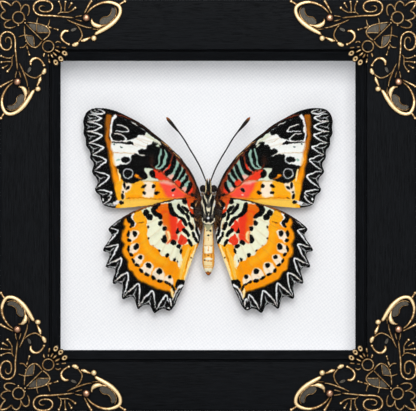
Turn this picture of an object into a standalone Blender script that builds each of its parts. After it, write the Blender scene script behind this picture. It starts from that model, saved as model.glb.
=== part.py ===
"""Framed butterfly specimen: a black box frame with pierced brass corners, at its real size.

Metres, +Z up. The frame stands on its lower rail and faces -Y. The origin is the middle of
the bottom of the whole object's box. Sizes below are in millimetres, and MM makes them metres.
"""

import math

import bmesh
import bpy
from mathutils import Matrix, Vector

MM = 0.001
GAP = 0.3

# Frame moulding. Depths run from the front face towards the back.
FRAME_WIDTH = 150.0
FRAME_HEIGHT = 148.0
FRAME_DEPTH = 26.5
FACE_WIDTH = 17.9
GROOVE_WIDTH = 0.8
GROOVE_DEPTH = 2.8
LIP_EDGE = 21.9
LIP_FRONT = 1.6
LIP_BACK = 5.0
REBATE_EDGE = 17.0
OUTER_ROUND = 0.9
INNER_ROUND = 0.3

# What lies in the rebate, front to back.
GLASS_THICKNESS = 2.0
SPACER_DEPTH = 11.0
SPACER_THICKNESS = 4.0
BOARD_THICKNESS = 1.5
BACK_THICKNESS = 2.5
TAB_THICKNESS = 0.5
TAB_WIDTH = 8.0
TAB_LENGTH = 14.0
TAB_IN_SLOT = 5.0

# Specimen. Heights are measured forward from the mount board.
PAD_SIZE = (4.0, 3.5, 20.0)
PAD_CENTRE_Z = -6.0
BODY_HEIGHT = 6.6
BODY_DEPTH_SHARE = 0.94
BODY_SIDES = 16
EYE_PLACE = (1.75, 6.0)
EYE_RADII = (1.15, 1.4, 1.3)
FOREWING_HEIGHT = 4.9
HINDWING_HEIGHT = 5.6
WING_THICKNESS = 0.3
ANTENNA_HEIGHT = 7.6
ANTENNA_RADIUS = 0.22
CLUB_START = 7
CLUB_SWELL = 2.6

# Corner ornaments and their pins. The leg along a side rail is a little shorter.
ORNAMENT_THICKNESS = 1.4
SHORT_LEG_SHARE = 0.945
PIN_PLACE = (31.3, 6.6)
PIN_HEAD_RADIUS = 1.3
PIN_HEAD_HEIGHT = 1.1
PIN_SHANK_RADIUS = 0.6
PIN_LENGTH = 8.0
PIN_HOLE_RADIUS = 0.9
ROUND_SIDES = 10

# Sawtooth hanger on the back of the top rail.
HANGER_LENGTH = 46.0
HANGER_HEIGHT = 8.0
HANGER_THICKNESS = 0.8
HANGER_RISE = 1.3
HANGER_FOOT = 8.0
HANGER_DOWN = 8.5
TOOTH_COUNT = 9
TOOTH_PITCH = 2.8
TOOTH_DEPTH = 1.8
NAIL_HEAD_RADIUS = 1.6
NAIL_HEAD_HEIGHT = 0.6
NAIL_SHANK_RADIUS = 0.6
NAIL_LENGTH = 9.0
NAIL_HOLE_RADIUS = 0.9

ORNAMENT_FRONT = GAP + ORNAMENT_THICKNESS
PIN_REACH = ORNAMENT_FRONT + GAP + PIN_HEAD_HEIGHT
HANGER_REACH = GAP + HANGER_RISE + HANGER_THICKNESS
FACE_Y = -(FRAME_DEPTH + HANGER_REACH - PIN_REACH) / 2
BACK_Y = FACE_Y + FRAME_DEPTH

GLASS_FRONT = LIP_BACK + GAP
SPACER_FRONT = GLASS_FRONT + GLASS_THICKNESS + GAP
BOARD_FRONT = SPACER_FRONT + SPACER_DEPTH + GAP
BACK_FRONT = BOARD_FRONT + BOARD_THICKNESS + GAP
TAB_FRONT = BACK_FRONT + BACK_THICKNESS + GAP
BOARD_Y = FACE_Y + BOARD_FRONT
CENTRE_Z = FRAME_HEIGHT / 2
PANEL_WIDTH = FRAME_WIDTH - 2 * (REBATE_EDGE + GAP)
PANEL_HEIGHT = FRAME_HEIGHT - 2 * (REBATE_EDGE + GAP)

# Right-hand wing outlines, from the middle of the frame.
FOREWING = [
    (3.1, 4.6), (4.0, 7.3), (5.1, 10.0), (6.7, 12.8), (8.3, 15.1), (10.0, 17.2), (12.3, 19.6),
    (15.0, 22.2), (17.5, 24.4), (20.0, 26.3), (22.5, 28.4), (25.2, 30.1), (27.8, 31.5),
    (30.2, 32.8), (32.7, 33.9), (35.0, 34.6), (37.4, 35.0), (39.9, 35.0), (41.7, 34.7),
    (43.2, 33.9), (44.2, 32.5), (44.8, 30.3), (44.6, 28.5), (44.7, 26.1), (43.9, 24.1),
    (43.9, 21.9), (42.7, 20.0), (42.4, 17.5), (41.4, 15.3), (41.6, 12.3), (40.2, 10.1),
    (40.5, 5.7), (38.9, 3.9), (38.2, 1.4), (37.3, 0.3), (34.9, -0.6), (32.4, -0.8),
    (29.9, -0.7), (26.8, -0.5), (17.0, 0.6), (10.0, 0.6), (3.1, 0.6),
]
HINDWING = [
    (3.0, 0.2), (6.0, 2.4), (9.7, 2.4), (13.2, 1.9), (16.0, 1.3), (18.9, 0.4), (21.7, -0.4),
    (24.0, -1.0), (26.3, -1.8), (28.6, -3.0), (30.3, -4.0), (32.0, -5.1), (33.7, -6.4),
    (35.0, -7.5), (35.7, -8.9), (34.8, -10.4), (35.2, -12.2), (36.5, -13.9), (37.7, -16.1),
    (35.7, -16.9), (35.4, -18.2), (36.2, -20.2), (36.7, -22.1), (34.1, -22.5), (33.5, -23.6),
    (34.0, -25.6), (34.1, -28.1), (32.0, -28.0), (30.8, -29.4), (30.8, -31.6), (30.5, -33.6),
    (29.4, -33.2), (27.7, -32.8), (26.4, -33.6), (25.8, -35.3), (25.3, -37.0), (22.6, -35.5),
    (21.1, -35.6), (20.3, -36.7), (19.2, -38.5), (17.2, -37.3), (15.5, -37.0), (14.0, -37.6),
    (12.0, -35.6), (10.2, -32.0), (8.6, -28.5), (7.2, -23.6), (5.7, -19.6), (4.2, -15.9),
    (3.2, -13.4), (3.0, -11.0), (3.0, -6.0),
]
# Half width of the body's turned outline and how far above the frame's middle it is.
BODY_PROFILE = [
    (0.0, 8.9), (0.9, 8.6), (1.3, 7.6), (1.5, 5.2), (1.6, 3.8), (2.3, 2.4), (2.6, 0.4),
    (2.55, -2.6), (2.3, -5.0), (1.9, -6.6), (1.5, -8.6), (1.6, -11.0), (1.9, -14.0),
    (2.1, -18.0), (2.0, -21.0), (1.5, -23.4), (0.8, -24.8), (0.0, -25.2),
]
ANTENNA_ROUTE = [
    (1.0, 8.9), (2.5, 13.0), (4.5, 16.9), (6.4, 20.0), (8.2, 23.1), (9.9, 25.6), (11.2, 27.2),
    (12.2, 28.5), (13.1, 29.5), (14.0, 30.6), (14.8, 31.6),
]

# Half of an ornament's outline, measured along the rail and in from its edge, from the
# frame's corner out to the tip of the leg and back to the inner corner.
ORNAMENT_HALF = [
    (0.5, 0.5), (2.6, 0.6), (4.4, 1.7), (5.9, 0.5), (7.4, 1.3), (9.3, 1.6), (10.9, 2.3),
    (12.6, 1.0), (15.5, 0.1), (17.8, 0.4), (19.3, 1.5), (20.9, 0.5), (22.0, 0.5), (22.3, 2.8),
    (23.2, 0.4), (24.2, 0.4), (24.4, 2.6), (25.4, 0.9), (26.5, 1.1), (26.0, 3.2), (27.4, 2.6),
    (27.9, 3.4), (25.7, 5.1), (27.2, 6.0), (29.9, 5.4), (31.1, 4.8), (32.6, 0.4), (33.6, 0.6),
    (32.7, 3.9), (33.6, 2.6), (36.2, 0.9), (39.1, 0.3), (41.7, 0.8), (43.2, 1.5), (44.8, 0.2),
    (45.4, 0.9), (43.8, 2.3), (44.1, 4.6), (43.3, 6.8), (41.7, 8.8), (39.7, 10.5), (37.4, 11.7),
    (35.2, 12.9), (35.3, 14.4), (34.1, 15.3), (32.9, 14.6), (29.9, 15.5), (28.9, 16.8),
    (27.2, 17.1), (24.6, 16.7), (24.4, 18.6), (24.7, 19.8), (23.5, 20.5), (23.2, 22.2),
]
# Openings through that half.
ORNAMENT_OPENINGS = [
    [(14.9, 1.4), (16.9, 1.3), (18.0, 2.6), (16.9, 3.8), (14.8, 3.4), (14.2, 2.3)],
    [(11.6, 5.6), (13.4, 6.6), (12.9, 7.9), (10.6, 7.4)],
    [(14.6, 6.6), (17.4, 6.8), (17.0, 8.8), (14.4, 8.2)],
    [(19.0, 6.9), (22.8, 7.2), (25.6, 9.0), (26.7, 10.3), (23.4, 10.8), (21.8, 12.3),
     (21.6, 13.8), (19.6, 13.6), (18.7, 12.4), (18.1, 9.6)],
    [(33.9, 5.0), (36.3, 2.6), (39.3, 1.9), (41.6, 2.7), (42.3, 4.5), (41.5, 6.6),
     (39.6, 8.3), (35.9, 8.4), (34.3, 6.9)],
    [(28.4, 8.3), (30.4, 8.7), (32.4, 8.2), (33.8, 10.1), (35.2, 10.5), (33.6, 12.0),
     (32.6, 13.3), (30.6, 13.9), (30.3, 11.6), (29.6, 9.9)],
    [(25.2, 12.2), (27.6, 11.4), (28.7, 12.9), (27.9, 14.2), (25.8, 14.9), (24.0, 14.3),
     (23.6, 13.2)],
    [(12.0, 9.2), (16.2, 9.9), (17.2, 12.0), (15.9, 13.2)],
]
# Round openings on the diagonal as (centre, radius).
ORNAMENT_RINGS = [((6.9, 6.5), 1.5), ((17.6, 16.9), 1.4)]

# Linear colour, roughness and metallic value of each finish.
FINISHES = {
    "black_wood": ((0.013, 0.014, 0.016), 0.5, 0.0),
    "clear_glass": ((0.9, 0.93, 0.93), 0.05, 0.0),
    "white_card": ((0.86, 0.86, 0.87), 0.8, 0.0),
    "fibreboard": ((0.32, 0.2, 0.11), 0.8, 0.0),
    "zinc_steel": ((0.55, 0.56, 0.58), 0.35, 1.0),
    "antique_brass": ((0.6, 0.45, 0.25), 0.35, 1.0),
    "copper": ((0.6, 0.3, 0.18), 0.35, 1.0),
    "white_foam": ((0.85, 0.85, 0.85), 0.9, 0.0),
    "forewing_scales": ((0.75, 0.33, 0.03), 0.6, 0.0),
    "hindwing_scales": ((0.8, 0.4, 0.02), 0.6, 0.0),
    "body_hair": ((0.62, 0.5, 0.28), 0.7, 0.0),
    "antenna_black": ((0.03, 0.015, 0.01), 0.5, 0.0),
}

FRONTWARD = Matrix.Rotation(math.radians(90), 4, "X")
BACKWARD = Matrix.Rotation(math.radians(-90), 4, "X")


def start_scene():
    """Empties the scene and makes the collections for the pieces and the cutters."""
    for existing in list(bpy.data.objects):
        bpy.data.objects.remove(existing)
    made = []
    for name in ("framed_butterfly", "cutters"):
        collection = bpy.data.collections.new(name)
        bpy.context.scene.collection.children.link(collection)
        made.append(collection)
    return made


PARTS, CUTTERS = start_scene()


def finish_material(name):
    """The Principled material of one finish."""
    if name in bpy.data.materials:
        return bpy.data.materials[name]
    colour, roughness, metallic = FINISHES[name]
    material = bpy.data.materials.new(name)
    material.use_nodes = True
    shader = material.node_tree.nodes["Principled BSDF"]
    shader.inputs["Base Color"].default_value = (*colour, 1.0)
    shader.inputs["Roughness"].default_value = roughness
    shader.inputs["Metallic"].default_value = metallic
    return material


def add_object(name, data, finish):
    """Links new data as a piece with its finish, or as a cutter when it has none."""
    made = bpy.data.objects.new(name, data)
    data.materials.clear()
    if finish:
        PARTS.objects.link(made)
        data.materials.append(finish_material(finish))
    else:
        CUTTERS.objects.link(made)
        made.hide_render = True
        made.display_type = "WIRE"
    return made


def mesh_object(name, shape, finish, smooth=False):
    """Turns a bmesh drawn in millimetres into an object, faces outward."""
    bmesh.ops.scale(shape, vec=(MM, MM, MM), verts=shape.verts)
    bmesh.ops.recalc_face_normals(shape, faces=shape.faces)
    for face in shape.faces:
        face.smooth = smooth
    mesh = bpy.data.meshes.new(name)
    shape.to_mesh(mesh)
    shape.free()
    return add_object(name, mesh, finish)


def box(name, size, centre, finish=None):
    """A block of this size, centred here."""
    shape = bmesh.new()
    bmesh.ops.create_cube(shape, size=1.0)
    bmesh.ops.scale(shape, vec=size, verts=shape.verts)
    bmesh.ops.translate(shape, vec=centre, verts=shape.verts)
    return mesh_object(name, shape, finish)


def hole_cutter(name, radius, place, near, far):
    """A round cutter along Y at place (x, z), between two Y values."""
    shape = bmesh.new()
    bmesh.ops.create_cone(
        shape, cap_ends=True, segments=ROUND_SIDES, radius1=radius, radius2=radius, depth=far - near
    )
    centre = Vector((place[0], (near + far) / 2, place[1]))
    bmesh.ops.transform(shape, matrix=Matrix.Translation(centre) @ FRONTWARD, verts=shape.verts)
    return mesh_object(name, shape, None)


def plate(name, outlines, thickness, centre, finish=None, facing=FRONTWARD):
    """A flat plate with these outlines, the first outside and the rest its openings."""
    curve = bpy.data.curves.new(name, "CURVE")
    curve.dimensions = "2D"
    curve.fill_mode = "BOTH"
    curve.extrude = thickness / 2
    for outline in outlines:
        spline = curve.splines.new("POLY")
        spline.points.add(len(outline) - 1)
        for point, (across, up) in zip(spline.points, outline):
            point.co = (across, up, 0.0, 1.0)
        spline.use_cyclic_u = True
    guide = bpy.data.objects.new(name, curve)
    CUTTERS.objects.link(guide)
    bpy.context.view_layer.update()
    graph = bpy.context.evaluated_depsgraph_get()
    filled = bpy.data.meshes.new_from_object(guide.evaluated_get(graph))
    bpy.data.objects.remove(guide)
    shape = bmesh.new()
    shape.from_mesh(filled)
    bmesh.ops.remove_doubles(shape, verts=shape.verts, dist=0.001)
    bmesh.ops.transform(shape, matrix=Matrix.Translation(centre) @ facing, verts=shape.verts)
    return mesh_object(name, shape, finish)


def turned(name, profile, sides, place, finish, facing=None):
    """A turned solid from (radius, height) points, top to bottom, spun about local Z."""
    mesh = bpy.data.meshes.new(name)
    shape = bmesh.new()
    rim = [shape.verts.new((radius * MM, 0.0, height * MM)) for radius, height in profile]
    for upper, lower in zip(rim, rim[1:]):
        shape.edges.new((upper, lower))
    shape.to_mesh(mesh)
    shape.free()
    piece = add_object(name, mesh, finish)
    spin = piece.modifiers.new("turned", "SCREW")
    spin.steps = sides
    spin.render_steps = sides
    spin.use_merge_vertices = True
    spin.merge_threshold = 0.00001
    spin.use_smooth_shade = True
    piece.matrix_world = Matrix.Translation(Vector(place) * MM) @ (facing or Matrix())
    return piece


def cut(piece, cutters):
    """Takes each cutter away from the piece."""
    for cutter in cutters:
        change = piece.modifiers.new(cutter.name, "BOOLEAN")
        change.operation = "DIFFERENCE"
        change.object = cutter
        change.solver = "EXACT"
    return piece


def arc(centre, radius, start, end, steps):
    """Points along an arc, its angles in degrees."""
    angles = [math.radians(start + (end - start) * k / steps) for k in range(steps + 1)]
    return [(centre[0] + radius * math.cos(a), centre[1] + radius * math.sin(a)) for a in angles]


def circle(centre, radius, sides=ROUND_SIDES):
    """Points round a circle, the last not repeated."""
    return arc(centre, radius, 0, 360, sides)[:-1]


def moulding_section():
    """A rail's section as (in from the outer edge, back from the face)."""
    lip_side = FACE_WIDTH + GROOVE_WIDTH
    r = OUTER_ROUND
    e = INNER_ROUND
    return [
        *arc((r, r), r, 180, 270, 3),
        *arc((FACE_WIDTH - e, e), e, 270, 360, 2),
        (FACE_WIDTH, GROOVE_DEPTH),
        (lip_side, GROOVE_DEPTH),
        *arc((lip_side + e, LIP_FRONT + e), e, 180, 270, 2),
        *arc((LIP_EDGE - e, LIP_FRONT + e), e, 270, 360, 2),
        (LIP_EDGE, LIP_BACK),
        (REBATE_EDGE, LIP_BACK),
        (REBATE_EDGE, FRAME_DEPTH),
        *arc((r, FRAME_DEPTH - r), r, 90, 180, 3),
    ]


def rail(name, length, turn, place, cutters):
    """A mitred rail, drawn as the top one with its outer edge at Z 0, then turned about Y."""
    half = length / 2 - GAP / math.sqrt(2)
    shape = bmesh.new()
    section = [
        shape.verts.new((inward - half, FACE_Y + back, -inward))
        for inward, back in moulding_section()
    ]
    end = shape.faces.new(section)
    pushed = bmesh.ops.extrude_face_region(shape, geom=[end], use_keep_orig=True)["geom"]
    for corner in (item for item in pushed if isinstance(item, bmesh.types.BMVert)):
        corner.co.x = -corner.co.x
    spot = Matrix.Translation(place) @ Matrix.Rotation(math.radians(turn), 4, "Y")
    bmesh.ops.transform(shape, matrix=spot, verts=shape.verts)
    return cut(mesh_object(name, shape, "black_wood"), cutters)


def corner_point(corner, along, inward):
    """A place on the frame's face, from one of its corners such as (-1, 1)."""
    side, level = corner
    return (
        side * (FRAME_WIDTH / 2 - along),
        CENTRE_Z + level * (FRAME_HEIGHT / 2 - inward),
    )


def short_leg(along, inward):
    """The same place on an ornament's other, shorter leg."""
    return (inward, along * SHORT_LEG_SHARE)


CORNERS = {
    "top_left": (-1, 1),
    "top_right": (1, 1),
    "bottom_left": (-1, -1),
    "bottom_right": (1, -1),
}
PIN_SPOTS = [
    corner_point(corner, *place)
    for corner in CORNERS.values()
    for place in (PIN_PLACE, short_leg(*PIN_PLACE))
]
# Direction from the middle to each rail, as (x, z).
SIDES = {"top": (0, 1), "right": (1, 0), "bottom": (0, -1), "left": (-1, 0)}
NAIL_SPOTS = {
    "left": (-(HANGER_LENGTH - HANGER_FOOT) / 2, FRAME_HEIGHT - HANGER_DOWN),
    "right": ((HANGER_LENGTH - HANGER_FOOT) / 2, FRAME_HEIGHT - HANGER_DOWN),
}


def rail_cutters(side):
    """Cutters for the pin holes, the tab's slot and the hanger's nails in one rail."""
    towards = Vector((*SIDES[side], 0.0))
    reach = Vector((FRAME_WIDTH / 2, FRAME_HEIGHT / 2, 0.0))
    cutters = []
    for number, (x, z) in enumerate(PIN_SPOTS, 1):
        offset = Vector((x, z - CENTRE_Z, 0.0))
        if offset.dot(towards) > reach.dot(Vector(map(abs, towards))) - FACE_WIDTH / 2:
            end = FACE_Y - ORNAMENT_FRONT + PIN_LENGTH
            cutters.append(
                hole_cutter(f"pin_hole_{number}", PIN_HOLE_RADIUS, (x, z), FACE_Y - 1.0, end)
            )
    if side == "top":
        for name, spot in NAIL_SPOTS.items():
            start = BACK_Y + HANGER_THICKNESS - NAIL_LENGTH
            cutters.append(
                hole_cutter(f"nail_hole_{name}", NAIL_HOLE_RADIUS, spot, start, BACK_Y + 1.0)
            )
    return cutters + [tab_shape(side, f"tab_slot_{side}", GAP, None)]


def tab_shape(side, name, slack, finish):
    """A retaining tab with a round free end, or the slot it sits in when slack is given."""
    across, up = SIDES[side]
    half = TAB_WIDTH / 2 + slack
    start = REBATE_EDGE - TAB_IN_SLOT - slack
    end = REBATE_EDGE - TAB_IN_SLOT + TAB_LENGTH - TAB_WIDTH / 2
    inward = [(-half, start), *[(x, y) for x, y in arc((0, end), half, 180, 0, 6)], (half, start)]
    outer = FRAME_WIDTH / 2 if across else FRAME_HEIGHT / 2
    outline = []
    for along, deep in inward:
        if across:
            outline.append((across * (outer - deep), along))
        else:
            outline.append((along, up * (outer - deep)))
    centre = (0.0, FACE_Y + TAB_FRONT + TAB_THICKNESS / 2, CENTRE_Z)
    return plate(name, [outline], TAB_THICKNESS + 2 * slack, centre, finish)


def make_frame():
    """The four mitred rails, their tabs and what lies in the rebate."""
    rail("frame_rail_top", FRAME_WIDTH, 0, (0, 0, FRAME_HEIGHT), rail_cutters("top"))
    rail("frame_rail_bottom", FRAME_WIDTH, 180, (0, 0, 0), rail_cutters("bottom"))
    half = FRAME_WIDTH / 2
    rail("frame_rail_right", FRAME_HEIGHT, 90, (half, 0, CENTRE_Z), rail_cutters("right"))
    rail("frame_rail_left", FRAME_HEIGHT, -90, (-half, 0, CENTRE_Z), rail_cutters("left"))
    for side in SIDES:
        tab_shape(side, f"retaining_tab_{side}", 0.0, "zinc_steel")


def make_panel(name, front, thickness, finish):
    """A sheet that fills the rebate."""
    centre = (0.0, FACE_Y + front + thickness / 2, CENTRE_Z)
    box(name, (PANEL_WIDTH, thickness, PANEL_HEIGHT), centre, finish)


def make_spacers():
    """Four strips that hold the glass off the mount board. The side ones fit between."""
    depth_centre = FACE_Y + SPACER_FRONT + SPACER_DEPTH / 2
    up = (PANEL_HEIGHT - SPACER_THICKNESS) / 2
    across = (PANEL_WIDTH - SPACER_THICKNESS) / 2
    between = PANEL_HEIGHT - 2 * (SPACER_THICKNESS + GAP)
    for side, (x, z) in SIDES.items():
        size = (
            (SPACER_THICKNESS, SPACER_DEPTH, between)
            if x
            else (PANEL_WIDTH, SPACER_DEPTH, SPACER_THICKNESS)
        )
        centre = (x * across, depth_centre, CENTRE_Z + z * up)
        box(f"spacer_{side}", size, centre, "white_card")


def mirrored(points, side):
    """Points of a right-hand outline for the side 1, or turned over for the side -1."""
    return [(side * x, z) for x, z in points]


def make_wing(name, outline, height, side, finish):
    """One wing as a thin plate at its height above the board."""
    centre = (0.0, BOARD_Y - height, CENTRE_Z)
    plate(name, [mirrored(outline, side)], WING_THICKNESS, centre, finish)


def make_antenna(name, side):
    """A thin feeler that swells to a club at its tip."""
    curve = bpy.data.curves.new(name, "CURVE")
    curve.dimensions = "3D"
    curve.bevel_depth = ANTENNA_RADIUS * MM
    curve.bevel_resolution = 1
    curve.use_fill_caps = True
    spline = curve.splines.new("POLY")
    route = mirrored(ANTENNA_ROUTE, side)
    spline.points.add(len(route) - 1)
    for number, (point, (x, z)) in enumerate(zip(spline.points, route)):
        point.co = (x * MM, (BOARD_Y - ANTENNA_HEIGHT) * MM, (CENTRE_Z + z) * MM, 1.0)
        point.radius = CLUB_SWELL if number > CLUB_START else 1.0
    add_object(name, curve, "antenna_black")


def make_body():
    """Head, thorax and abdomen in one, with the eyes joined on."""
    place = (0.0, BOARD_Y - BODY_HEIGHT, CENTRE_Z)
    body = turned("butterfly_body", BODY_PROFILE, BODY_SIDES, place, "body_hair")
    body.scale.y = BODY_DEPTH_SHARE
    for side in (-1, 1):
        shape = bmesh.new()
        bmesh.ops.create_uvsphere(shape, u_segments=12, v_segments=8, radius=1.0)
        bmesh.ops.scale(shape, vec=EYE_RADII, verts=shape.verts)
        centre = (side * EYE_PLACE[0], place[1], CENTRE_Z + EYE_PLACE[1])
        bmesh.ops.translate(shape, vec=centre, verts=shape.verts)
        eye = mesh_object(f"eye_{side}", shape, None)
        join = body.modifiers.new(eye.name, "BOOLEAN")
        join.operation = "UNION"
        join.object = eye
        join.solver = "EXACT"


def make_butterfly():
    """The specimen and the foam pad that carries it."""
    pad_y = BOARD_Y - GAP - PAD_SIZE[1] / 2
    box("specimen_pad", PAD_SIZE, (0.0, pad_y, CENTRE_Z + PAD_CENTRE_Z), "white_foam")
    make_body()
    for side_name, side in (("left", -1), ("right", 1)):
        make_wing(f"forewing_{side_name}", FOREWING, FOREWING_HEIGHT, side, "forewing_scales")
        make_wing(f"hindwing_{side_name}", HINDWING, HINDWING_HEIGHT, side, "hindwing_scales")
        make_antenna(f"antenna_{side_name}", side)


def make_ornament(name, corner):
    """A pierced corner plate, the short leg drawn from the long one."""
    pin_holes = [circle(PIN_PLACE, PIN_HOLE_RADIUS), circle(short_leg(*PIN_PLACE), PIN_HOLE_RADIUS)]
    outline = ORNAMENT_HALF + [short_leg(*point) for point in reversed(ORNAMENT_HALF[1:])]
    openings = ORNAMENT_OPENINGS + [
        [short_leg(*point) for point in opening] for opening in ORNAMENT_OPENINGS
    ]
    rings = [circle(*ring) for ring in ORNAMENT_RINGS]
    outlines = [
        [corner_point(corner, *point) for point in loop]
        for loop in [outline, *openings, *rings, *pin_holes]
    ]
    centre = (0.0, FACE_Y - GAP - ORNAMENT_THICKNESS / 2, 0.0)
    plate(name, outlines, ORNAMENT_THICKNESS, centre, "antique_brass")


def make_corners():
    """Four ornaments, each held by two pins with domed heads."""
    for name, corner in CORNERS.items():
        make_ornament(f"corner_ornament_{name}", corner)
    dome = [
        (PIN_HEAD_RADIUS * math.sin(math.radians(angle)), PIN_HEAD_HEIGHT * math.cos(math.radians(angle)))
        for angle in (0, 30, 60, 90)
    ]
    foot = PIN_HEAD_HEIGHT - PIN_LENGTH
    profile = dome + [(PIN_SHANK_RADIUS, 0.0), (PIN_SHANK_RADIUS, foot + 1.0), (0.0, foot)]
    seat = FACE_Y - ORNAMENT_FRONT - GAP
    for number, (x, z) in enumerate(PIN_SPOTS, 1):
        turned(f"ornament_pin_{number}", profile, ROUND_SIDES, (x, seat, z), "copper", FRONTWARD)


def make_hanger():
    """A stamped strip with nailed feet and a raised toothed middle, on the top rail's back."""
    half = HANGER_LENGTH / 2
    bend = half - HANGER_FOOT
    rise = HANGER_RISE
    thick = HANGER_THICKNESS
    slope = 2.0
    near = [(-half, 0), (-bend, 0), (slope - bend, rise), (bend - slope, rise), (bend, 0), (half, 0)]
    far = [(x, y + thick) for x, y in reversed(near)]
    centre = (0.0, BACK_Y + GAP, FRAME_HEIGHT - HANGER_DOWN)
    strip = plate("sawtooth_hanger", [near + far], HANGER_HEIGHT, centre, "zinc_steel", Matrix())
    cutters = []
    foot_z = centre[2] - HANGER_HEIGHT / 2
    first = -TOOTH_PITCH * (TOOTH_COUNT - 1) / 2
    for number in range(TOOTH_COUNT):
        x = first + number * TOOTH_PITCH
        half_tooth = TOOTH_PITCH / 2 - GAP
        notch = [(x - half_tooth, foot_z - 1), (x + half_tooth, foot_z - 1), (x, foot_z + TOOTH_DEPTH)]
        middle = (0.0, centre[1] + rise + thick / 2, 0.0)
        cutters.append(plate(f"tooth_{number}", [notch], 4 * thick, middle))
    for name, spot in NAIL_SPOTS.items():
        cutters.append(
            hole_cutter(f"foot_hole_{name}", NAIL_HOLE_RADIUS, spot, BACK_Y - 1.0, BACK_Y + 3.0)
        )
    cut(strip, cutters)
    seat = BACK_Y + 2 * GAP + thick
    foot = NAIL_HEAD_HEIGHT - NAIL_LENGTH
    profile = [
        (0.0, NAIL_HEAD_HEIGHT),
        (NAIL_HEAD_RADIUS * 0.7, NAIL_HEAD_HEIGHT),
        (NAIL_HEAD_RADIUS, NAIL_HEAD_HEIGHT / 2),
        (NAIL_HEAD_RADIUS, 0.0),
        (NAIL_SHANK_RADIUS, 0.0),
        (NAIL_SHANK_RADIUS, foot + 1.0),
        (0.0, foot),
    ]
    for name, (x, z) in NAIL_SPOTS.items():
        turned(f"hanger_nail_{name}", profile, ROUND_SIDES, (x, seat, z), "zinc_steel", BACKWARD)


make_frame()
make_panel("glass_pane", GLASS_FRONT, GLASS_THICKNESS, "clear_glass")
make_spacers()
make_panel("mount_board", BOARD_FRONT, BOARD_THICKNESS, "white_card")
make_panel("backing_board", BACK_FRONT, BACK_THICKNESS, "fibreboard")
make_butterfly()
make_corners()
make_hanger()
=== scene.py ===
import math
import bmesh
import bpy
import numpy
from mathutils import Matrix, Vector, noise


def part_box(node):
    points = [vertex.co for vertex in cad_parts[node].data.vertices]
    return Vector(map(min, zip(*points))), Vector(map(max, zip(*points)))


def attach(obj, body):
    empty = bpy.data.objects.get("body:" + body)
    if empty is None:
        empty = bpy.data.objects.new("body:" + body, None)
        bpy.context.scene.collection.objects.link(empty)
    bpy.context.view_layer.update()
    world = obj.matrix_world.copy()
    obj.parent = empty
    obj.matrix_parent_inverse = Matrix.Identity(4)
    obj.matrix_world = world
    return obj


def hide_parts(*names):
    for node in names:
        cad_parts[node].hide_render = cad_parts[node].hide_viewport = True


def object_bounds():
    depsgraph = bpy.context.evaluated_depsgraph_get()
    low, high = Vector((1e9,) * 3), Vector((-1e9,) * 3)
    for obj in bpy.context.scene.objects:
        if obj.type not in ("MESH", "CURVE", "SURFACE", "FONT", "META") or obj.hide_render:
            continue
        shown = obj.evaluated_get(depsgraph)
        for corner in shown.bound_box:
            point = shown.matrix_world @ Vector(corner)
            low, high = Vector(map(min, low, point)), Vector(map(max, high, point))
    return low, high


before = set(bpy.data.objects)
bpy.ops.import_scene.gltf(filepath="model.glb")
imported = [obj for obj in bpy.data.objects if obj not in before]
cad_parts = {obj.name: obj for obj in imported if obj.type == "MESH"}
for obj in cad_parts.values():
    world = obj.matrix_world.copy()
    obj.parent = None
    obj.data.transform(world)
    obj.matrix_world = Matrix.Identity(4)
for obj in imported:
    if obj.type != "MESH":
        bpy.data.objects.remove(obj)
cadLow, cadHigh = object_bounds()

mm = 0.001
midHeight = (cadLow[2] + cadHigh[2]) / 2
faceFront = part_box("frame_rail_top")[0].y
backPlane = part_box("frame_rail_top")[1].y
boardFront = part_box("mount_board")[0].y
frameWidth = cadHigh[0] - cadLow[0]


def at(x, z, forward=0.0, plane=boardFront):
    # x and z in mm from the middle of the frame, forward in mm from a plane
    return Vector((x * mm, plane - forward * mm, midHeight + z * mm))


def linear(red, green, blue):
    # a colour as the eye reads it, 0 to 255, made the light value that shaders use
    tones = numpy.array([red, green, blue], float) / 255
    return numpy.where(tones <= 0.04045, tones / 12.92, ((tones + 0.055) / 1.055) ** 2.4)


def rgba(red, green, blue):
    return (*linear(red, green, blue), 1.0)


def finishPiece(name, bm, finishes, replaced, sharpAngle):
    bmesh.ops.recalc_face_normals(bm, faces=bm.faces)
    mesh = bpy.data.meshes.new(name)
    bm.to_mesh(mesh)
    bm.free()
    return finishMesh(name, mesh, finishes, replaced, sharpAngle)


def finishMesh(name, mesh, finishes, replaced=(), sharpAngle=None):
    # makes the object, lets it ride on the frame and stand for its plain solids
    for finish in finishes:
        mesh.materials.append(finish)
    mesh.shade_smooth()
    if sharpAngle:
        mesh.set_sharp_from_angle(angle=math.radians(sharpAngle))
    piece = bpy.data.objects.new(name, mesh)
    bpy.context.scene.collection.objects.link(piece)
    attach(piece, "root")
    if replaced:
        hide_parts(*replaced)
    return piece


def addTo(bm, other, matrix=None):
    # moves all of one bmesh into another
    if matrix is not None:
        bmesh.ops.transform(other, matrix=matrix, verts=other.verts)
        if matrix.determinant() < 0:
            bmesh.ops.reverse_faces(other, faces=other.faces)
    mesh = bpy.data.meshes.new("joining")
    other.to_mesh(mesh)
    other.free()
    bm.from_mesh(mesh)
    bpy.data.meshes.remove(mesh)


def fillHoles(bm):
    bmesh.ops.holes_fill(bm, edges=[edge for edge in bm.edges if edge.is_boundary], sides=0)


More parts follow.
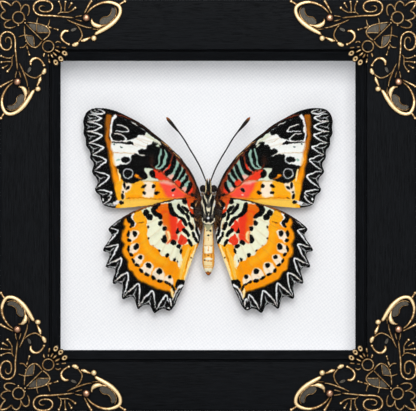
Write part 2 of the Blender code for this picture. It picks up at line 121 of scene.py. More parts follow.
def curveThrough(points, closed=False, step=0.12):
    # a smooth line through given points
    line = numpy.array(points, float)
    if closed:
        ring = numpy.vstack([line[-1], line, line[0], line[1]])
    else:
        ring = numpy.vstack([2 * line[0] - line[1], line, 2 * line[-1] - line[-2]])
    made = []
    for a, b, c, d in zip(ring, ring[1:], ring[2:], ring[3:]):
        count = max(2, int(numpy.linalg.norm(c - b) / step))
        t = (numpy.arange(count) / count)[:, None]
        bend = 2 * a - 5 * b + 4 * c - d
        made.append(0.5 * (2 * b + (c - a) * t + bend * t**2 + (3 * b - a - 3 * c + d) * t**3))
    if not closed:
        made.append(line[-1:])
    return numpy.vstack(made)


def tube(line, widths, heights, sides):
    # a round section drawn along a line in space: widths across it, heights along Y
    line = numpy.array(line, float)
    share = numpy.linspace(0, 1, len(line))
    wide = numpy.interp(share, numpy.linspace(0, 1, len(widths)), widths)
    tall = numpy.interp(share, numpy.linspace(0, 1, len(heights)), heights)
    heading = numpy.gradient(line, axis=0)
    stations = []
    for spot, ahead, width, height in zip(line, heading, wide, tall):
        along = Vector(ahead).normalized()
        across = along.cross(Vector((0, 1, 0))).normalized()
        depth = across.cross(along).normalized()
        place = Matrix.Identity(4)
        place.col[0] = (*(across * width / 2), 0)
        place.col[1] = (*(depth * height / 2), 0)
        place.col[2] = (*along * max(width, height), 0)
        place.col[3] = (*spot, 1)
        stations.append(place)
    made = bmesh.new()
    bmesh.ops.create_circle(made, cap_ends=True, segments=sides, radius=1, matrix=stations[0])
    end = made.faces[:][0]
    for before, after in zip(stations, stations[1:]):
        grown = bmesh.ops.extrude_face_region(made, geom=[end])["geom"]
        end = [part for part in grown if isinstance(part, bmesh.types.BMFace)][0]
        bmesh.ops.transform(made, matrix=after @ before.inverted(), verts=end.verts)
    return made


def ball(centre, radii, sides=16):
    made = bmesh.new()
    place = Matrix.Translation(centre) @ Matrix.Diagonal((*radii, 1))
    bmesh.ops.create_uvsphere(made, u_segments=sides, v_segments=sides * 3 // 4, radius=1, matrix=place)
    return made


class Signal:
    # a shader socket that takes part in sums
    def __init__(self, finish, socket):
        self.finish = finish
        self.socket = socket

    def __add__(self, other):
        return self.finish.maths("ADD", self, other)

    def __sub__(self, other):
        return self.finish.maths("SUBTRACT", self, other)

    def __rsub__(self, other):
        return self.finish.maths("SUBTRACT", other, self)

    def __mul__(self, other):
        return self.finish.maths("MULTIPLY", self, other)

    __radd__ = __add__
    __rmul__ = __mul__


class Finish:
    # one material, with the shader's constants set first
    def __init__(self, name, **constants):
        self.material = bpy.data.materials.new(name)
        self.material.use_nodes = True
        self.tree = self.material.node_tree
        self.shader = self.tree.nodes["Principled BSDF"]
        for key, value in constants.items():
            self.shader.inputs[self.spell(key)].default_value = value

    def spell(self, key):
        names = {"specular": "Specular IOR Level", "colour": "Base Color", "ior": "IOR"}
        return names.get(key, key.capitalize())

    def feed(self, socket, value):
        if isinstance(value, Signal):
            self.tree.links.new(value.socket, socket)
        else:
            socket.default_value = value

    def node(self, kind, settings=None, inputs=None, output=0):
        made = self.tree.nodes.new("ShaderNode" + kind)
        for key, value in (settings or {}).items():
            if key == "stops":
                stops = made.color_ramp.elements
                for index, (spot, tone) in enumerate(value):
                    stop = stops[index] if index < 2 else stops.new(spot)
                    stop.position = spot
                    stop.color = tone
            else:
                setattr(made, key, value)
        for key, value in (inputs or {}).items():
            self.feed(made.inputs[key], value)
        return Signal(self, made.outputs[output])

    def maths(self, operation, first, second):
        return self.node("Math", {"operation": operation}, {0: first, 1: second})

    def place(self, scale=(1, 1, 1), turn=(0, 0, 0)):
        # object coordinates in mm, stretched or turned
        spot = self.node("TexCoord", output="Object")
        sizes = tuple(1000 * size for size in scale)
        return self.node("Mapping", None, {"Vector": spot, "Scale": sizes, "Rotation": turn})

    def noise(self, spot, scale, detail=3.0, roughness=0.55, distortion=0.0):
        return self.node("TexNoise", None, {"Vector": spot, "Scale": scale, "Detail": detail,
                                            "Roughness": roughness, "Distortion": distortion})

    def level(self, value, low, high, toLow=0.0, toHigh=1.0):
        return self.node("MapRange", None, {"Value": value, "From Min": low, "From Max": high,
                                            "To Min": toLow, "To Max": toHigh})

    def mix(self, share, first, second, blend="MIX"):
        return self.node("Mix", {"data_type": "RGBA", "blend_type": blend, "clamp_factor": True},
                         {0: share, 6: first, 7: second}, output=2)

    def scaled(self, colour, amount):
        return self.node("VectorMath", {"operation": "SCALE"}, {0: colour, "Scale": amount})

    def bump(self, height, strength, distance):
        return self.node("Bump", None, {"Height": height, "Strength": strength, "Distance": distance * mm})

    def done(self, **results):
        for key, value in results.items():
            self.feed(self.shader.inputs[self.spell(key)], value)
        return self.material


def blackWood(name, stretch):
    # painted wood with a straight grain, drawn out along the rail
    finish = Finish(name, specular=0.03)
    spot = finish.place(stretch)
    grain = finish.noise(spot, 2.6, 6.0, 0.68)
    broad = finish.noise(spot, 0.55, 2.0, 0.5, 0.6)
    pore = finish.level(finish.noise(spot, 5.5, 2.0, 0.5), 0.56, 0.7)
    flat = finish.place()
    mottle = finish.noise(flat, 0.05, 3.0)
    tone = finish.mix(finish.level(grain, 0.3, 0.7), rgba(3, 4, 5), rgba(21, 23, 26))
    tone = finish.mix(broad * 0.5, tone, rgba(9, 10, 12))
    tone = finish.mix(pore * 0.6, tone, rgba(3, 3, 4))
    tone = finish.mix(finish.level(mottle, 0.45, 0.75, 0.0, 0.35), tone, rgba(19, 21, 24))
    height = grain + broad * 0.8 - pore * 0.7
    gloss = finish.level(grain + mottle, 0.6, 1.4, 0.38, 0.58)
    return finish.done(colour=tone, roughness=gloss, normal=finish.bump(height, 0.5, 0.09))


def paperBoard(name, light, dark, weave=0.5):
    # white card with the fine tooth of laid paper
    finish = Finish(name, specular=0.25)
    spot = finish.place()
    slanted = finish.place((1.0, 1.0, 1.0), (0, math.radians(38), 0))
    tooth = finish.noise(slanted, 1.6, 4.0, 0.7)
    laid = {"Vector": slanted, "Distortion": 2.5, "Detail": 2.0, "Detail Scale": 3.0}
    rows = finish.node("TexWave", {"bands_direction": "X"}, {**laid, "Scale": 0.32})
    cross = finish.node("TexWave", {"bands_direction": "Z"}, {**laid, "Scale": 0.3})
    broad = finish.noise(spot, 0.03, 2.0)
    height = tooth + (rows + cross) * weave
    tone = finish.mix(finish.level(height, 0.4, 1.6), dark, light)
    tone = finish.mix(finish.level(broad, 0.4, 0.8, 0.0, 0.25), tone, dark)
    return finish.done(colour=tone, roughness=finish.level(tooth, 0.3, 0.7, 0.82, 0.94),
                       normal=finish.bump(height, 0.35, 0.05))


def fibreBoard():
    # brown hardboard, rough with pressed fibres
    finish = Finish("hardboard", specular=0.2)
    spot = finish.place()
    fibre = finish.noise(finish.place((1.0, 1.0, 0.25), (0, 0.5, 0)), 3.2, 5.0, 0.7, 1.2)
    crossFibre = finish.noise(finish.place((0.25, 1.0, 1.0), (0, 0.3, 0)), 3.0, 5.0, 0.7, 1.2)
    fleck = finish.level(finish.noise(spot, 1.4, 2.0), 0.6, 0.72)
    stain = finish.noise(spot, 0.03, 3.0)
    tone = finish.mix(fibre, rgba(118, 82, 52), rgba(176, 134, 92))
    tone = finish.mix(finish.level(crossFibre, 0.45, 0.8), tone, rgba(192, 156, 116))
    tone = finish.mix(fleck * 0.5, tone, rgba(84, 54, 33))
    tone = finish.mix(finish.level(stain, 0.45, 0.8, 0.0, 0.35), tone, rgba(132, 96, 62))
    return finish.done(colour=tone, roughness=finish.level(fibre, 0.3, 0.8, 0.7, 0.9),
                       normal=finish.bump(fibre + crossFibre, 0.5, 0.12))


def zincPlate():
    # plated steel with faint spangle, scratches and dulled patches
    finish = Finish("zinc_plate", metallic=1.0)
    spot = finish.place()
    spangle = finish.node("TexVoronoi", {"feature": "F1"}, {"Vector": spot, "Scale": 0.55}, output="Distance")
    scratch = finish.level(finish.noise(finish.place((0.08, 1, 2.4), (0, 0.2, 0)), 2.6, 3.0), 0.58, 0.66)
    dull = finish.noise(spot, 0.22, 4.0)
    tone = finish.mix(spangle, rgba(196, 199, 203), rgba(148, 152, 158))
    tone = finish.mix(finish.level(dull, 0.5, 0.75, 0.0, 0.5), tone, rgba(122, 122, 120))
    gloss = finish.level(dull, 0.35, 0.7, 0.28, 0.5) - scratch * 0.1
    return finish.done(colour=tone, roughness=gloss, normal=finish.bump(dull - scratch * 0.6, 0.25, 0.03))


def foamPad():
    # white closed cell foam
    finish = Finish("white_foam", specular=0.2)
    spot = finish.place()
    cells = finish.node("TexVoronoi", {"feature": "DISTANCE_TO_EDGE"},
                        {"Vector": spot, "Scale": 2.8}, output="Distance")
    wall = finish.level(cells, 0.0, 0.12)
    speck = finish.noise(spot, 3.0, 3.0)
    tone = finish.mix(wall, rgba(206, 207, 208), rgba(242, 242, 240))
    tone = finish.mix(finish.level(speck, 0.4, 0.8, 0.0, 0.3), tone, rgba(222, 222, 220))
    return finish.done(colour=tone, roughness=finish.level(speck, 0.3, 0.7, 0.75, 0.9),
                       normal=finish.bump(wall, 0.4, 0.06))


def clearGlass():
    # thin picture glass: nearly all the light goes through
    finish = Finish("clear_glass", alpha=0.05, specular=0.5, ior=1.5)
    spot = finish.place()
    ripple = finish.noise(spot, 0.02, 2.0)
    film = finish.noise(spot, 0.3, 4.0)
    tone = finish.mix(film, rgba(14, 20, 18), rgba(30, 36, 34))
    return finish.done(colour=tone, roughness=finish.level(film, 0.3, 0.8, 0.02, 0.08),
                       normal=finish.bump(ripple, 0.05, 0.2))


def antiqueBrass():
    # bright on the ridges as worn brass and painted highlight, brown to near black towards the frame as
    # patina and painted shade
    finish = Finish("antique_brass", specular=0.5)
    ridge = finish.node("Attribute", {"attribute_name": "ridge"}, output="Fac")
    spot = finish.place()
    patina = finish.noise(spot, 1.1, 5.0, 0.65)
    pit = finish.noise(spot, 5.0, 3.0, 0.6)
    # painted light and wear: the ridge height makes the wire tops a painted highlight and their foot painted
    # shade
    lit_and_worn = finish.level(ridge + (patina - 0.5) * 0.5, 0.2, 0.86)
    tone = finish.node("ValToRGB", {"stops": [
        (0.0, rgba(12, 9, 6)), (0.96, rgba(242, 212, 160)), (0.32, rgba(34, 24, 14)),
        (0.6, rgba(88, 64, 36)), (0.82, rgba(156, 118, 70))]}, {"Fac": lit_and_worn}, output="Color")
    tone = finish.mix(finish.level(pit, 0.58, 0.72, 0.0, 0.35), tone, rgba(96, 74, 48))
    gloss = finish.level(lit_and_worn, 0.0, 1.0, 0.6, 0.4) + (pit - 0.5) * 0.15
    metal = finish.level(lit_and_worn, 0.0, 0.5, 0.4, 0.62)
    return finish.done(colour=tone, metallic=metal, roughness=gloss,
                       normal=finish.bump(patina + pit * 0.5, 0.35, 0.05))


def darkPewter():
    # the thin webs between the wires, left dark
    finish = Finish("dark_pewter", metallic=0.7)
    spot = finish.place()
    tooth = finish.noise(spot, 3.4, 4.0, 0.7)
    hatch = finish.noise(finish.place((2.6, 1, 0.5), (0, 0.6, 0)), 1.4, 2.0)
    tone = finish.mix(finish.level(tooth, 0.3, 0.7), rgba(28, 27, 25), rgba(78, 74, 66))
    tone = finish.mix(finish.level(hatch, 0.5, 0.7, 0.0, 0.5), tone, rgba(104, 92, 70))
    return finish.done(colour=tone, roughness=finish.level(tooth, 0.3, 0.7, 0.4, 0.6),
                       normal=finish.bump(tooth + hatch, 0.5, 0.06))


def copperPlate():
    # pin heads: warm copper with tarnish, a painted highlight on the dome's top and painted shade round the
    # rim
    finish = Finish("copper", metallic=0.9)
    ridge = finish.node("Attribute", {"attribute_name": "ridge"}, output="Fac")
    spot = finish.place()
    tarnish = finish.noise(spot, 1.6, 4.0, 0.6)
    # painted light: the dome's height makes its top a painted highlight and its rim painted shade
    lit_and_worn = finish.level(ridge + (tarnish - 0.5) * 0.4, 0.15, 0.95)
    tone = finish.node("ValToRGB", {"stops": [
        (0.0, rgba(28, 18, 12)), (1.0, rgba(196, 150, 120)), (0.4, rgba(84, 56, 40)),
        (0.7, rgba(128, 90, 66))]}, {"Fac": lit_and_worn}, output="Color")
    return finish.done(colour=tone, roughness=finish.level(tarnish, 0.35, 0.7, 0.24, 0.42),
                       normal=finish.bump(tarnish, 0.2, 0.04))


def wingScales(name):
    # the marking comes from the mesh, the powdery scales from fine noise along the wing
    finish = Finish(name, specular=0.03)
    marking = finish.node("Attribute", {"attribute_name": "tone"}, output="Color")
    spot = finish.place()
    rowed = finish.place((1, 0.2, 1))
    scale = finish.node("TexVoronoi", {"feature": "F1"}, {"Vector": rowed, "Scale": 7.0}, output="Color")
    dust = finish.noise(spot, 4.2, 3.0, 0.7)
    cloud = finish.noise(spot, 0.7, 3.0, 0.6)
    tone = finish.mix(0.16, marking, finish.mix(1.0, marking, scale, "OVERLAY"))
    shade = finish.level(dust, 0.3, 0.7, 0.9, 1.04) * finish.level(cloud, 0.3, 0.7, 0.95, 1.02)
    tone = finish.scaled(tone, shade)
    return finish.done(colour=tone, roughness=finish.level(dust, 0.3, 0.7, 0.7, 0.9),
                       normal=finish.bump(dust, 0.3, 0.05))


def bodyCoat(name, gloss, fine):
    # short scales and hair; the pattern comes from the mesh
    finish = Finish(name, specular=0.12)
    marking = finish.node("Attribute", {"attribute_name": "tone"}, output="Color")
    nap = finish.noise(finish.place((1, 1, 0.3)), fine, 4.0, 0.7)
    tone = finish.mix(finish.level(nap, 0.35, 0.7, 0.22, 0.0), marking,
                      finish.mix(1.0, marking, (0.5, 0.42, 0.34, 1.0), "MULTIPLY"))
    return finish.done(colour=tone, roughness=finish.level(nap, 0.3, 0.7, gloss - 0.08, gloss + 0.12),
                       normal=finish.bump(nap, 0.45, 0.08))


# Marks are painted in turn: patches with a soft edge, strokes with their widths, oval dots.
def patches(colour, soft, *loops):
    return [("patch", colour, soft, loop) for loop in loops]


def strokes(colour, *lines):
    return [("stroke", colour, line, widths) for line, widths in lines]


def dots(colour, *spots):
    return [("dot", colour, (x, z), (wide, tall), tilt) for x, z, wide, tall, tilt in spots]


palette = {
    "black": (7, 6, 6),
    "soot": (24, 18, 16),
    "umber": (50, 27, 18),
    "rust": (128, 52, 28),
    "tan": (196, 148, 96),
    "red": (232, 56, 29),
    "coral": (246, 78, 60),
    "pink": (240, 176, 160),
    "orange": (248, 150, 6),
    "amber": (249, 172, 24),
    "gold": (251, 198, 78),
    "butter": (252, 226, 160),
    "flesh": (248, 228, 200),
    "ivory": (237, 237, 206),
    "cream": (239, 240, 234),
    "celadon": (148, 184, 168),
    "mist": (214, 222, 198),
    "white": (240, 240, 240),
    "silver": (188, 190, 190),
    "teal": (60, 84, 84),
    "bronze": (190, 104, 14),
    "flame": (230, 104, 8),
    "sienna": (160, 90, 14),
    "ember": (206, 78, 18),
    "brick": (132, 46, 18),
    "smoke": (92, 88, 82),
    "olive": (158, 156, 120),
    "chalk": (252, 244, 214),
    "honey": (244, 172, 62),
    "wheat": (246, 224, 170),
    "chestnut": (136, 66, 16),
}

forewing = {
    "outline": [
        (2.6, 3.4), (3.1, 5.5), (3.9, 7.5), (5.0, 10.1), (6.05, 12.1), (7.4, 14.0), (9.8, 17.2),
         (12.5, 19.9),
        (15.0, 22.2), (17.5, 24.4), (20.0, 26.3), (22.5, 28.4), (25.2, 30.1), (27.8, 31.5),
        (30.2, 32.8), (32.7, 33.9), (35.0, 34.6), (37.4, 35.0), (39.9, 35.0), (41.9, 34.7),
        (43.3, 33.8), (44.3, 32.4), (44.8, 30.6), (44.8, 29.6), (44.6, 28.3), (44.7, 27.0), (44.8, 26.1),
         (44.5, 25.2), (43.9, 24.1),
        (43.9, 22.9), (43.9, 21.9), (43.3, 20.8), (42.6, 20.0), (42.3, 18.7), (42.4, 17.6), (42.0, 16.5),
         (41.2, 15.4), (41.1, 14.2), (41.6, 12.8), (41.7, 12.0), (41.2, 11.2), (40.2, 10.2), (39.7, 8.8),
         (40.0, 7.2),
        (40.6, 5.9), (40.3, 4.9), (39.4, 4.2), (38.7, 3.4), (38.3, 1.9), (37.9, 0.7), (37.0, 0.0),
         (34.9, -0.6), (32.4, -0.85),
        (29.9, -0.7), (26.8, -0.45), (22.0, 0.1), (17.0, 0.9), (12.0, 1.5), (8.0, 1.8), (5.0, 1.6),
         (2.6, 1.6),
    ],
    "marks": [
        # cream field across the middle
        ("patch", "cream", 0.2, [
            (17.0, 21.9), (17.6, 22.9), (18.8, 23.9), (20.2, 25.0), (21.4, 25.9), (22.7, 26.5),
            (22.5, 25.5), (23.2, 25.2), (24.4, 25.6), (25.3, 25.2), (25.6, 24.4), (26.6, 24.2),
            (27.7, 23.8), (28.8, 23.5), (30.0, 23.4), (33.0, 23.4), (34.9, 23.0), (35.1, 21.2),
            (34.8, 19.2), (34.6, 17.0), (34.3, 15.2), (33.5, 14.1), (31.8, 14.6), (30.2, 14.8),
            (28.9, 15.0), (27.7, 15.9), (27.5, 17.0), (27.8, 17.8), (27.0, 18.4), (25.6, 18.6),
            (24.4, 18.1), (23.2, 17.8), (22.6, 17.9), (23.5, 18.2), (24.6, 18.4), (25.1, 19.3),
            (24.7, 20.2), (23.7, 20.5), (22.8, 20.2), (22.3, 20.4), (22.2, 21.1), (21.5, 21.8),
            (20.6, 21.9), (20.2, 22.2), (20.2, 22.8), (19.5, 23.1), (18.7, 22.8), (18.0, 22.2),
            (17.4, 21.8)]),
        ("patch", "mist", 0.9, [
            (17.3, 22.3), (19.0, 23.9), (21.8, 26.0), (22.0, 25.0), (20.0, 23.4), (18.6, 22.6)]),
        ("patch", "mist", 0.3, [(17.4, 21.0), (18.6, 21.6), (18.6, 22.0), (17.6, 21.8)]),
        # white strip inside the tip
        ("patch", "white", 0.2, [
            (33.3, 31.3), (32.7, 32.2), (33.3, 32.8), (34.2, 32.1), (34.7, 31.3), (34.8, 30.0),
            (35.2, 28.6), (35.3, 27.0), (35.5, 25.4), (35.1, 24.0), (34.9, 22.8), (34.1, 22.9),
            (34.5, 24.0), (34.9, 25.2), (34.3, 26.3), (34.1, 27.4), (34.5, 28.6), (34.2, 29.6),
            (34.0, 30.3), (33.8, 30.9)]),
        # orange band beside the dark margin
        ("patch", "bronze", 0.8, [
            (34.8, 32.4), (36.3, 32.7), (36.9, 31.6), (37.0, 30.0), (37.3, 28.4), (37.2, 26.6),
            (37.4, 25.2), (37.2, 23.6), (36.9, 22.4), (36.9, 21.0), (36.5, 19.8), (36.4, 18.4),
            (36.0, 17.2), (35.9, 15.6), (35.6, 14.4), (35.4, 12.6), (34.9, 11.0), (34.4, 9.6), (34.1, 8.2),
            (33.8, 6.6), (33.5, 5.0), (33.1, 3.6), (32.8, 2.2), (32.4, 1.2), (31.2, 2.0), (30.8, 5.0),
            (30.6, 8.0), (31.2, 9.4), (32.0, 10.8), (32.6, 12.4), (33.0, 13.6), (33.9, 14.4), (34.4, 15.4),
            (34.7, 16.6), (34.3, 17.8), (34.1, 18.8), (34.7, 20.2), (34.9, 21.6), (34.8, 22.8),
            (35.2, 23.6), (35.7, 24.8), (35.5, 26.2), (35.2, 27.6), (35.4, 29.0), (35.0, 30.2),
            (34.9, 31.4)]),
        ("patch", "sienna", 0.9, [
            (34.9, 31.9), (36.4, 32.5), (37.2, 30.0), (37.5, 27.0), (37.3, 25.6), (36.4, 26.4),
            (35.6, 28.0), (35.3, 30.0)]),
        ("patch", "orange", 1.7, [
            (35.2, 19.4), (35.9, 18.8), (35.4, 16.4), (35.1, 14.0), (34.3, 10.4), (33.5, 7.0), (32.8, 3.4),
            (32.2, 1.6), (31.0, 2.8), (30.8, 8.0), (32.5, 11.4), (33.8, 14.6), (34.3, 17.4)]),
        ("patch", "black", 1.2, [
            (37.0, 32.2), (37.2, 29.2), (36.9, 27.4), (37.1, 25.0), (36.6, 21.6), (35.8, 18.6),
            (35.7, 16.2), (34.9, 13.0), (34.8, 10.7), (34.0, 7.6), (33.9, 5.9), (33.3, 4.0), (33.3, 2.2),
            (34.6, 3.0), (36.2, 9.0), (37.6, 15.0), (38.6, 24.0), (38.8, 30.0), (38.4, 32.4)]),
        # orange and yellow hind part
        ("patch", "amber", 0.2, [
            (6.4, 3.4), (9.0, 5.2), (12.0, 7.6), (14.6, 8.9), (18.0, 9.0), (21.0, 8.9), (23.6, 9.0),
            (25.0, 8.6), (26.4, 8.1), (28.2, 7.9), (29.8, 8.4), (30.8, 9.2), (31.6, 9.8), (33.0, 8.0),
            (33.2, 5.0), (32.6, 2.2), (32.8, 0.4), (32.4, -1.2), (24.0, -1.2), (14.0, 0.2), (6.0, 1.2)]),
        ("patch", "gold", 0.9, [
            (17.0, 2.1), (22.0, 2.2), (27.0, 2.3), (30.5, 2.0), (31.5, 0.5), (31.0, -1.2), (24.0, -1.0),
            (18.0, 0.6)]),
        ("patch", "orange", 1.0, [
            (13.5, 2.6), (15.0, 5.5), (16.5, 8.6), (19.0, 8.6), (20.0, 6.0), (19.5, 3.2), (17.0, 2.3)]),
        ("patch", "orange", 0.9, [(23.6, 2.9), (25.0, 3.6), (28.2, 3.4), (29.6, 2.9), (27.5, 2.5)]),
        ("patch", "coral", 1.3, [
            (6.4, 3.2), (9.0, 5.2), (12.0, 7.6), (14.6, 9.1), (17.2, 9.0), (16.8, 6.8), (15.6, 4.6),
            (14.2, 2.8), (10.5, 2.6)]),
        ("patch", "pink", 1.0, [(12.0, 7.7), (14.8, 8.9), (17.4, 8.7), (15.0, 7.8)]),
        ("patch", "flesh", 0.7, [
            (18.9, 6.0), (19.4, 8.2), (21.0, 8.9), (23.4, 8.6), (22.8, 6.6), (23.3, 4.6), (23.6, 3.2),
            (21.2, 2.7), (19.6, 3.0), (19.0, 4.4)]),
        ("patch", "flesh", 0.6, [
            (27.3, 8.0), (29.6, 8.4), (30.6, 8.6), (31.2, 6.6), (31.4, 4.0), (31.0, 2.2), (29.8, 2.4),
            (29.6, 4.4), (28.4, 5.2), (27.6, 6.4)]),
        ("patch", "white", 0.4, [
            (30.4, 1.8), (31.6, 1.9), (33.2, 1.5), (34.2, 1.0), (34.0, 0.4), (33.2, 0.2), (32.2, 0.7),
            (31.2, 1.0)]),
        # red wedge along the cell's lower vein
        ("patch", "red", 0.25, [
            (11.2, 7.8), (14.0, 9.0), (17.2, 9.1), (18.6, 9.8), (19.5, 11.1), (19.7, 12.8), (18.2, 12.6),
            (16.2, 11.8), (14.0, 10.1)]),
        # pale field behind the wedge
        ("patch", "mist", 0.3, [
            (19.6, 13.1), (21.4, 13.5), (22.9, 13.4), (22.7, 12.4), (21.9, 11.2), (21.8, 10.1), (22.6, 9.4),
            (24.0, 8.9), (22.4, 8.7), (20.0, 8.7), (17.8, 9.0), (18.4, 9.6), (20.0, 9.9), (21.0, 10.9),
            (21.0, 12.2), (20.4, 12.8)]),
        ("dot", "black", (19.9, 11.4), (0.98, 1.12), -25),
        # leading edge
        ("stroke", "umber", [
            (3.4, 3.6), (4.4, 6.8), (5.8, 9.8), (8.0, 13.6), (10.6, 16.9), (13.6, 19.9), (17.0, 22.9)],
            [1.2, 1.1, 1.0, 0.95, 0.9, 0.7, 0.4]),
        ("stroke", "rust", [
            (4.2, 4.4), (5.3, 7.4), (6.7, 10.4), (8.5, 13.0), (10.8, 15.9), (12.9, 18.2), (14.0, 19.7)],
            [1.3, 1.2, 1.1, 0.95, 0.9, 0.95, 0.5]),
        ("stroke", "red", [(5.2, 6.6), (5.9, 8.2), (7.0, 10.2), (8.8, 12.8)], [0.2, 0.45, 0.4, 0.1]),
        *strokes("tan",
            ([(9.9, 16.6), (11.2, 18.0), (12.6, 19.2)], [0.1, 0.36, 0.1]),
            ([(12.9, 20.0), (14.6, 21.4), (16.9, 23.3)], [0.1, 0.36, 0.1])),
        ("stroke", "umber", [
            (17.5, 23.9), (22.5, 27.8), (27.5, 31.0), (32.0, 33.1)], [0.3, 0.35, 0.35, 0.2]),
        ("stroke", "silver", [(22.6, 26.7), (23.4, 27.3), (24.4, 28.0)], [0.1, 0.4, 0.1]),
        ("stroke", "cream", [(25.1, 28.6), (26.4, 29.4), (28.0, 30.2)], [0.1, 0.4, 0.1]),
        ("stroke", "silver", [(28.9, 30.3), (29.7, 30.8), (30.6, 31.2)], [0.1, 0.45, 0.1]),
        ("stroke", "rust", [(27.4, 31.0), (30.4, 32.0), (33.2, 32.7)], [0.1, 0.3, 0.1]),
        # bars across the cell
        ("patch", "celadon", 0.2, [
            (5.6, 5.6), (6.0, 8.0), (7.0, 10.4), (8.6, 12.9), (10.6, 15.7), (12.4, 17.4), (13.4, 18.4),
            (14.4, 17.0), (14.6, 14.0), (16.4, 12.0), (14.8, 10.2), (12.6, 8.6), (10.0, 6.2), (7.4, 4.4),
            (6.4, 4.2)]),
        ("patch", "brick", 0.4, [
            (4.4, 4.2), (4.9, 6.4), (5.6, 8.4), (6.6, 10.4), (7.0, 9.4), (6.4, 8.4), (6.5, 6.4), (7.4, 4.6),
            (6.8, 3.6), (5.4, 3.2)]),
        ("patch", "red", 0.4, [
            (5.5, 5.2), (5.6, 6.6), (6.1, 8.0), (6.3, 7.0), (6.6, 5.9), (7.3, 4.6), (6.6, 4.2)]),
        ("patch", "pink", 0.6, [(7.6, 4.9), (8.0, 6.6), (9.4, 6.4), (9.9, 6.0), (8.8, 5.2)]),
        ("patch", "red", 0.3, [(9.9, 6.2), (9.7, 8.4), (10.3, 9.7), (11.3, 9.2), (12.1, 8.1)]),
        ("patch", "pink", 0.5, [
            (12.3, 9.0), (12.3, 10.9), (13.4, 11.0), (14.6, 10.5), (15.8, 11.3), (14.4, 9.9), (13.0, 8.8)]),
        ("patch", "soot", 0.2, [
            (12.4, 17.6), (12.2, 14.8), (13.6, 13.8), (15.2, 14.6), (15.0, 18.6), (13.9, 19.2)]),
        ("stroke", "rust", [(12.9, 17.9), (13.1, 16.0), (13.9, 14.2)], [0.3, 0.5, 0.4]),
        ("patch", "red", 0.25, [
            (13.5, 15.0), (14.2, 14.2), (14.9, 13.0), (15.9, 12.3), (16.7, 11.8), (15.8, 11.5),
            (15.0, 12.4), (13.9, 13.4)]),
        ("stroke", "celadon", [(13.8, 16.9), (14.2, 16.0)], [0.2, 0.4]),
        *strokes("black",
            ([(6.35, 8.1), (6.5, 6.8), (7.1, 5.6), (7.6, 4.9)], [0.9, 1.2, 1.15, 0.8]),
            ([(7.5, 10.6), (7.8, 9.4), (8.9, 8.1), (9.3, 7.2), (9.8, 6.6)], [0.8, 1.15, 1.0, 1.1, 0.8]),
            ([(8.6, 12.7), (9.0, 11.2), (10.0, 9.9), (10.4, 9.2)], [0.95, 1.2, 0.95, 0.6]),
            ([(10.0, 14.5), (10.6, 12.6), (11.7, 10.4), (12.6, 9.0)], [1.0, 1.35, 1.25, 0.8]),
            ([(12.1, 17.2), (12.4, 14.8), (13.4, 12.6), (14.2, 11.9), (14.9, 11.6)],
            [1.0, 1.35, 1.4, 1.7, 1.6]),
            ([(14.0, 18.9), (14.5, 16.4), (15.3, 14.2), (16.4, 12.9), (17.6, 12.5)],
            [1.2, 1.35, 1.3, 1.2, 0.7]),
            ([(16.1, 19.9), (16.2, 17.6), (16.7, 15.4), (17.6, 14.1), (18.4, 13.9)],
            [0.7, 0.9, 0.9, 0.7, 0.4])),
        *strokes("celadon",
            ([(15.4, 19.8), (15.0, 18.4), (15.5, 16.6), (15.9, 15.0), (16.8, 13.7), (17.9, 13.2),
            (18.8, 13.5)], [0.5, 0.75, 0.85, 0.8, 0.75, 0.6, 0.4]),
            ([(16.8, 20.2), (17.2, 18.6), (17.6, 17.0), (17.6, 15.4), (18.1, 14.3), (18.9, 13.7)],
            [0.5, 0.65, 0.6, 0.6, 0.5, 0.3])),
        ("patch", "umber", 1.4, [(19.9, 18.0), (20.6, 17.4), (21.0, 15.8), (20.2, 14.8), (19.6, 15.8)]),
        # lower vein of the cell and the one beyond it
        ("stroke", "rust", [
            (6.4, 3.4), (9.0, 5.4), (12.0, 8.0), (15.0, 10.6), (17.4, 12.4), (19.2, 13.3), (20.4, 14.6)],
            [0.3, 0.3, 0.3, 0.35, 0.35, 0.5, 0.2]),
        ("stroke", "tan", [(14.4, 8.9), (18.0, 8.9), (24.0, 8.8)], [0.14, 0.2, 0.14]),
        ("stroke", "bronze", [(13.0, 2.4), (18.0, 2.4), (23.0, 2.7), (29.0, 2.6)], [0.16, 0.2, 0.3, 0.14]),
        ("stroke", "rust", [(18.6, 3.9), (19.0, 6.0), (18.8, 8.2)], [0.05, 0.1, 0.05]),
        # apical patch loops
        ("patch", "black", 0.15, [
            (22.4, 26.3), (23.4, 25.6), (24.6, 25.8), (25.7, 24.9), (26.8, 24.4), (28.6, 23.6),
            (29.8, 24.6), (31.0, 25.8), (33.0, 25.8), (33.2, 26.6), (29.0, 26.6), (28.0, 27.0),
            (29.0, 28.0), (31.0, 29.4), (33.3, 29.6), (33.0, 31.0), (31.6, 31.8), (29.0, 30.4),
            (25.8, 28.8)]),
        ("stroke", "white", [
            (33.0, 29.0), (31.4, 28.9), (29.9, 28.3), (28.9, 27.5), (28.4, 26.8), (29.2, 26.6),
            (30.6, 26.6), (32.0, 26.7), (33.2, 26.8)],
            [0.24, 0.28, 0.3, 0.34, 0.44, 0.34, 0.28, 0.26, 0.24]),
        ("patch", "black", 0.1, [
            (29.2, 27.2), (30.2, 28.0), (31.4, 28.5), (32.9, 28.6), (32.9, 27.3), (31.6, 27.1),
            (30.2, 27.0)]),
        ("stroke", "white", [
            (33.6, 25.9), (32.3, 25.8), (31.2, 25.5), (30.1, 24.9), (29.3, 23.9), (30.0, 23.2),
            (31.2, 22.95), (32.6, 23.0), (34.2, 23.3)],
            [0.24, 0.3, 0.3, 0.34, 0.44, 0.34, 0.28, 0.26, 0.24]),
        ("patch", "black", 0.1, [
            (30.0, 23.9), (30.7, 24.8), (31.8, 25.4), (33.4, 25.4), (33.8, 24.4), (33.2, 23.5),
            (31.8, 23.3), (30.6, 23.4)]),
        *strokes("black",
            ([(33.5, 29.8), (33.5, 28.8), (33.8, 27.8), (33.9, 26.9)], [0.7, 0.9, 0.9, 0.7]),
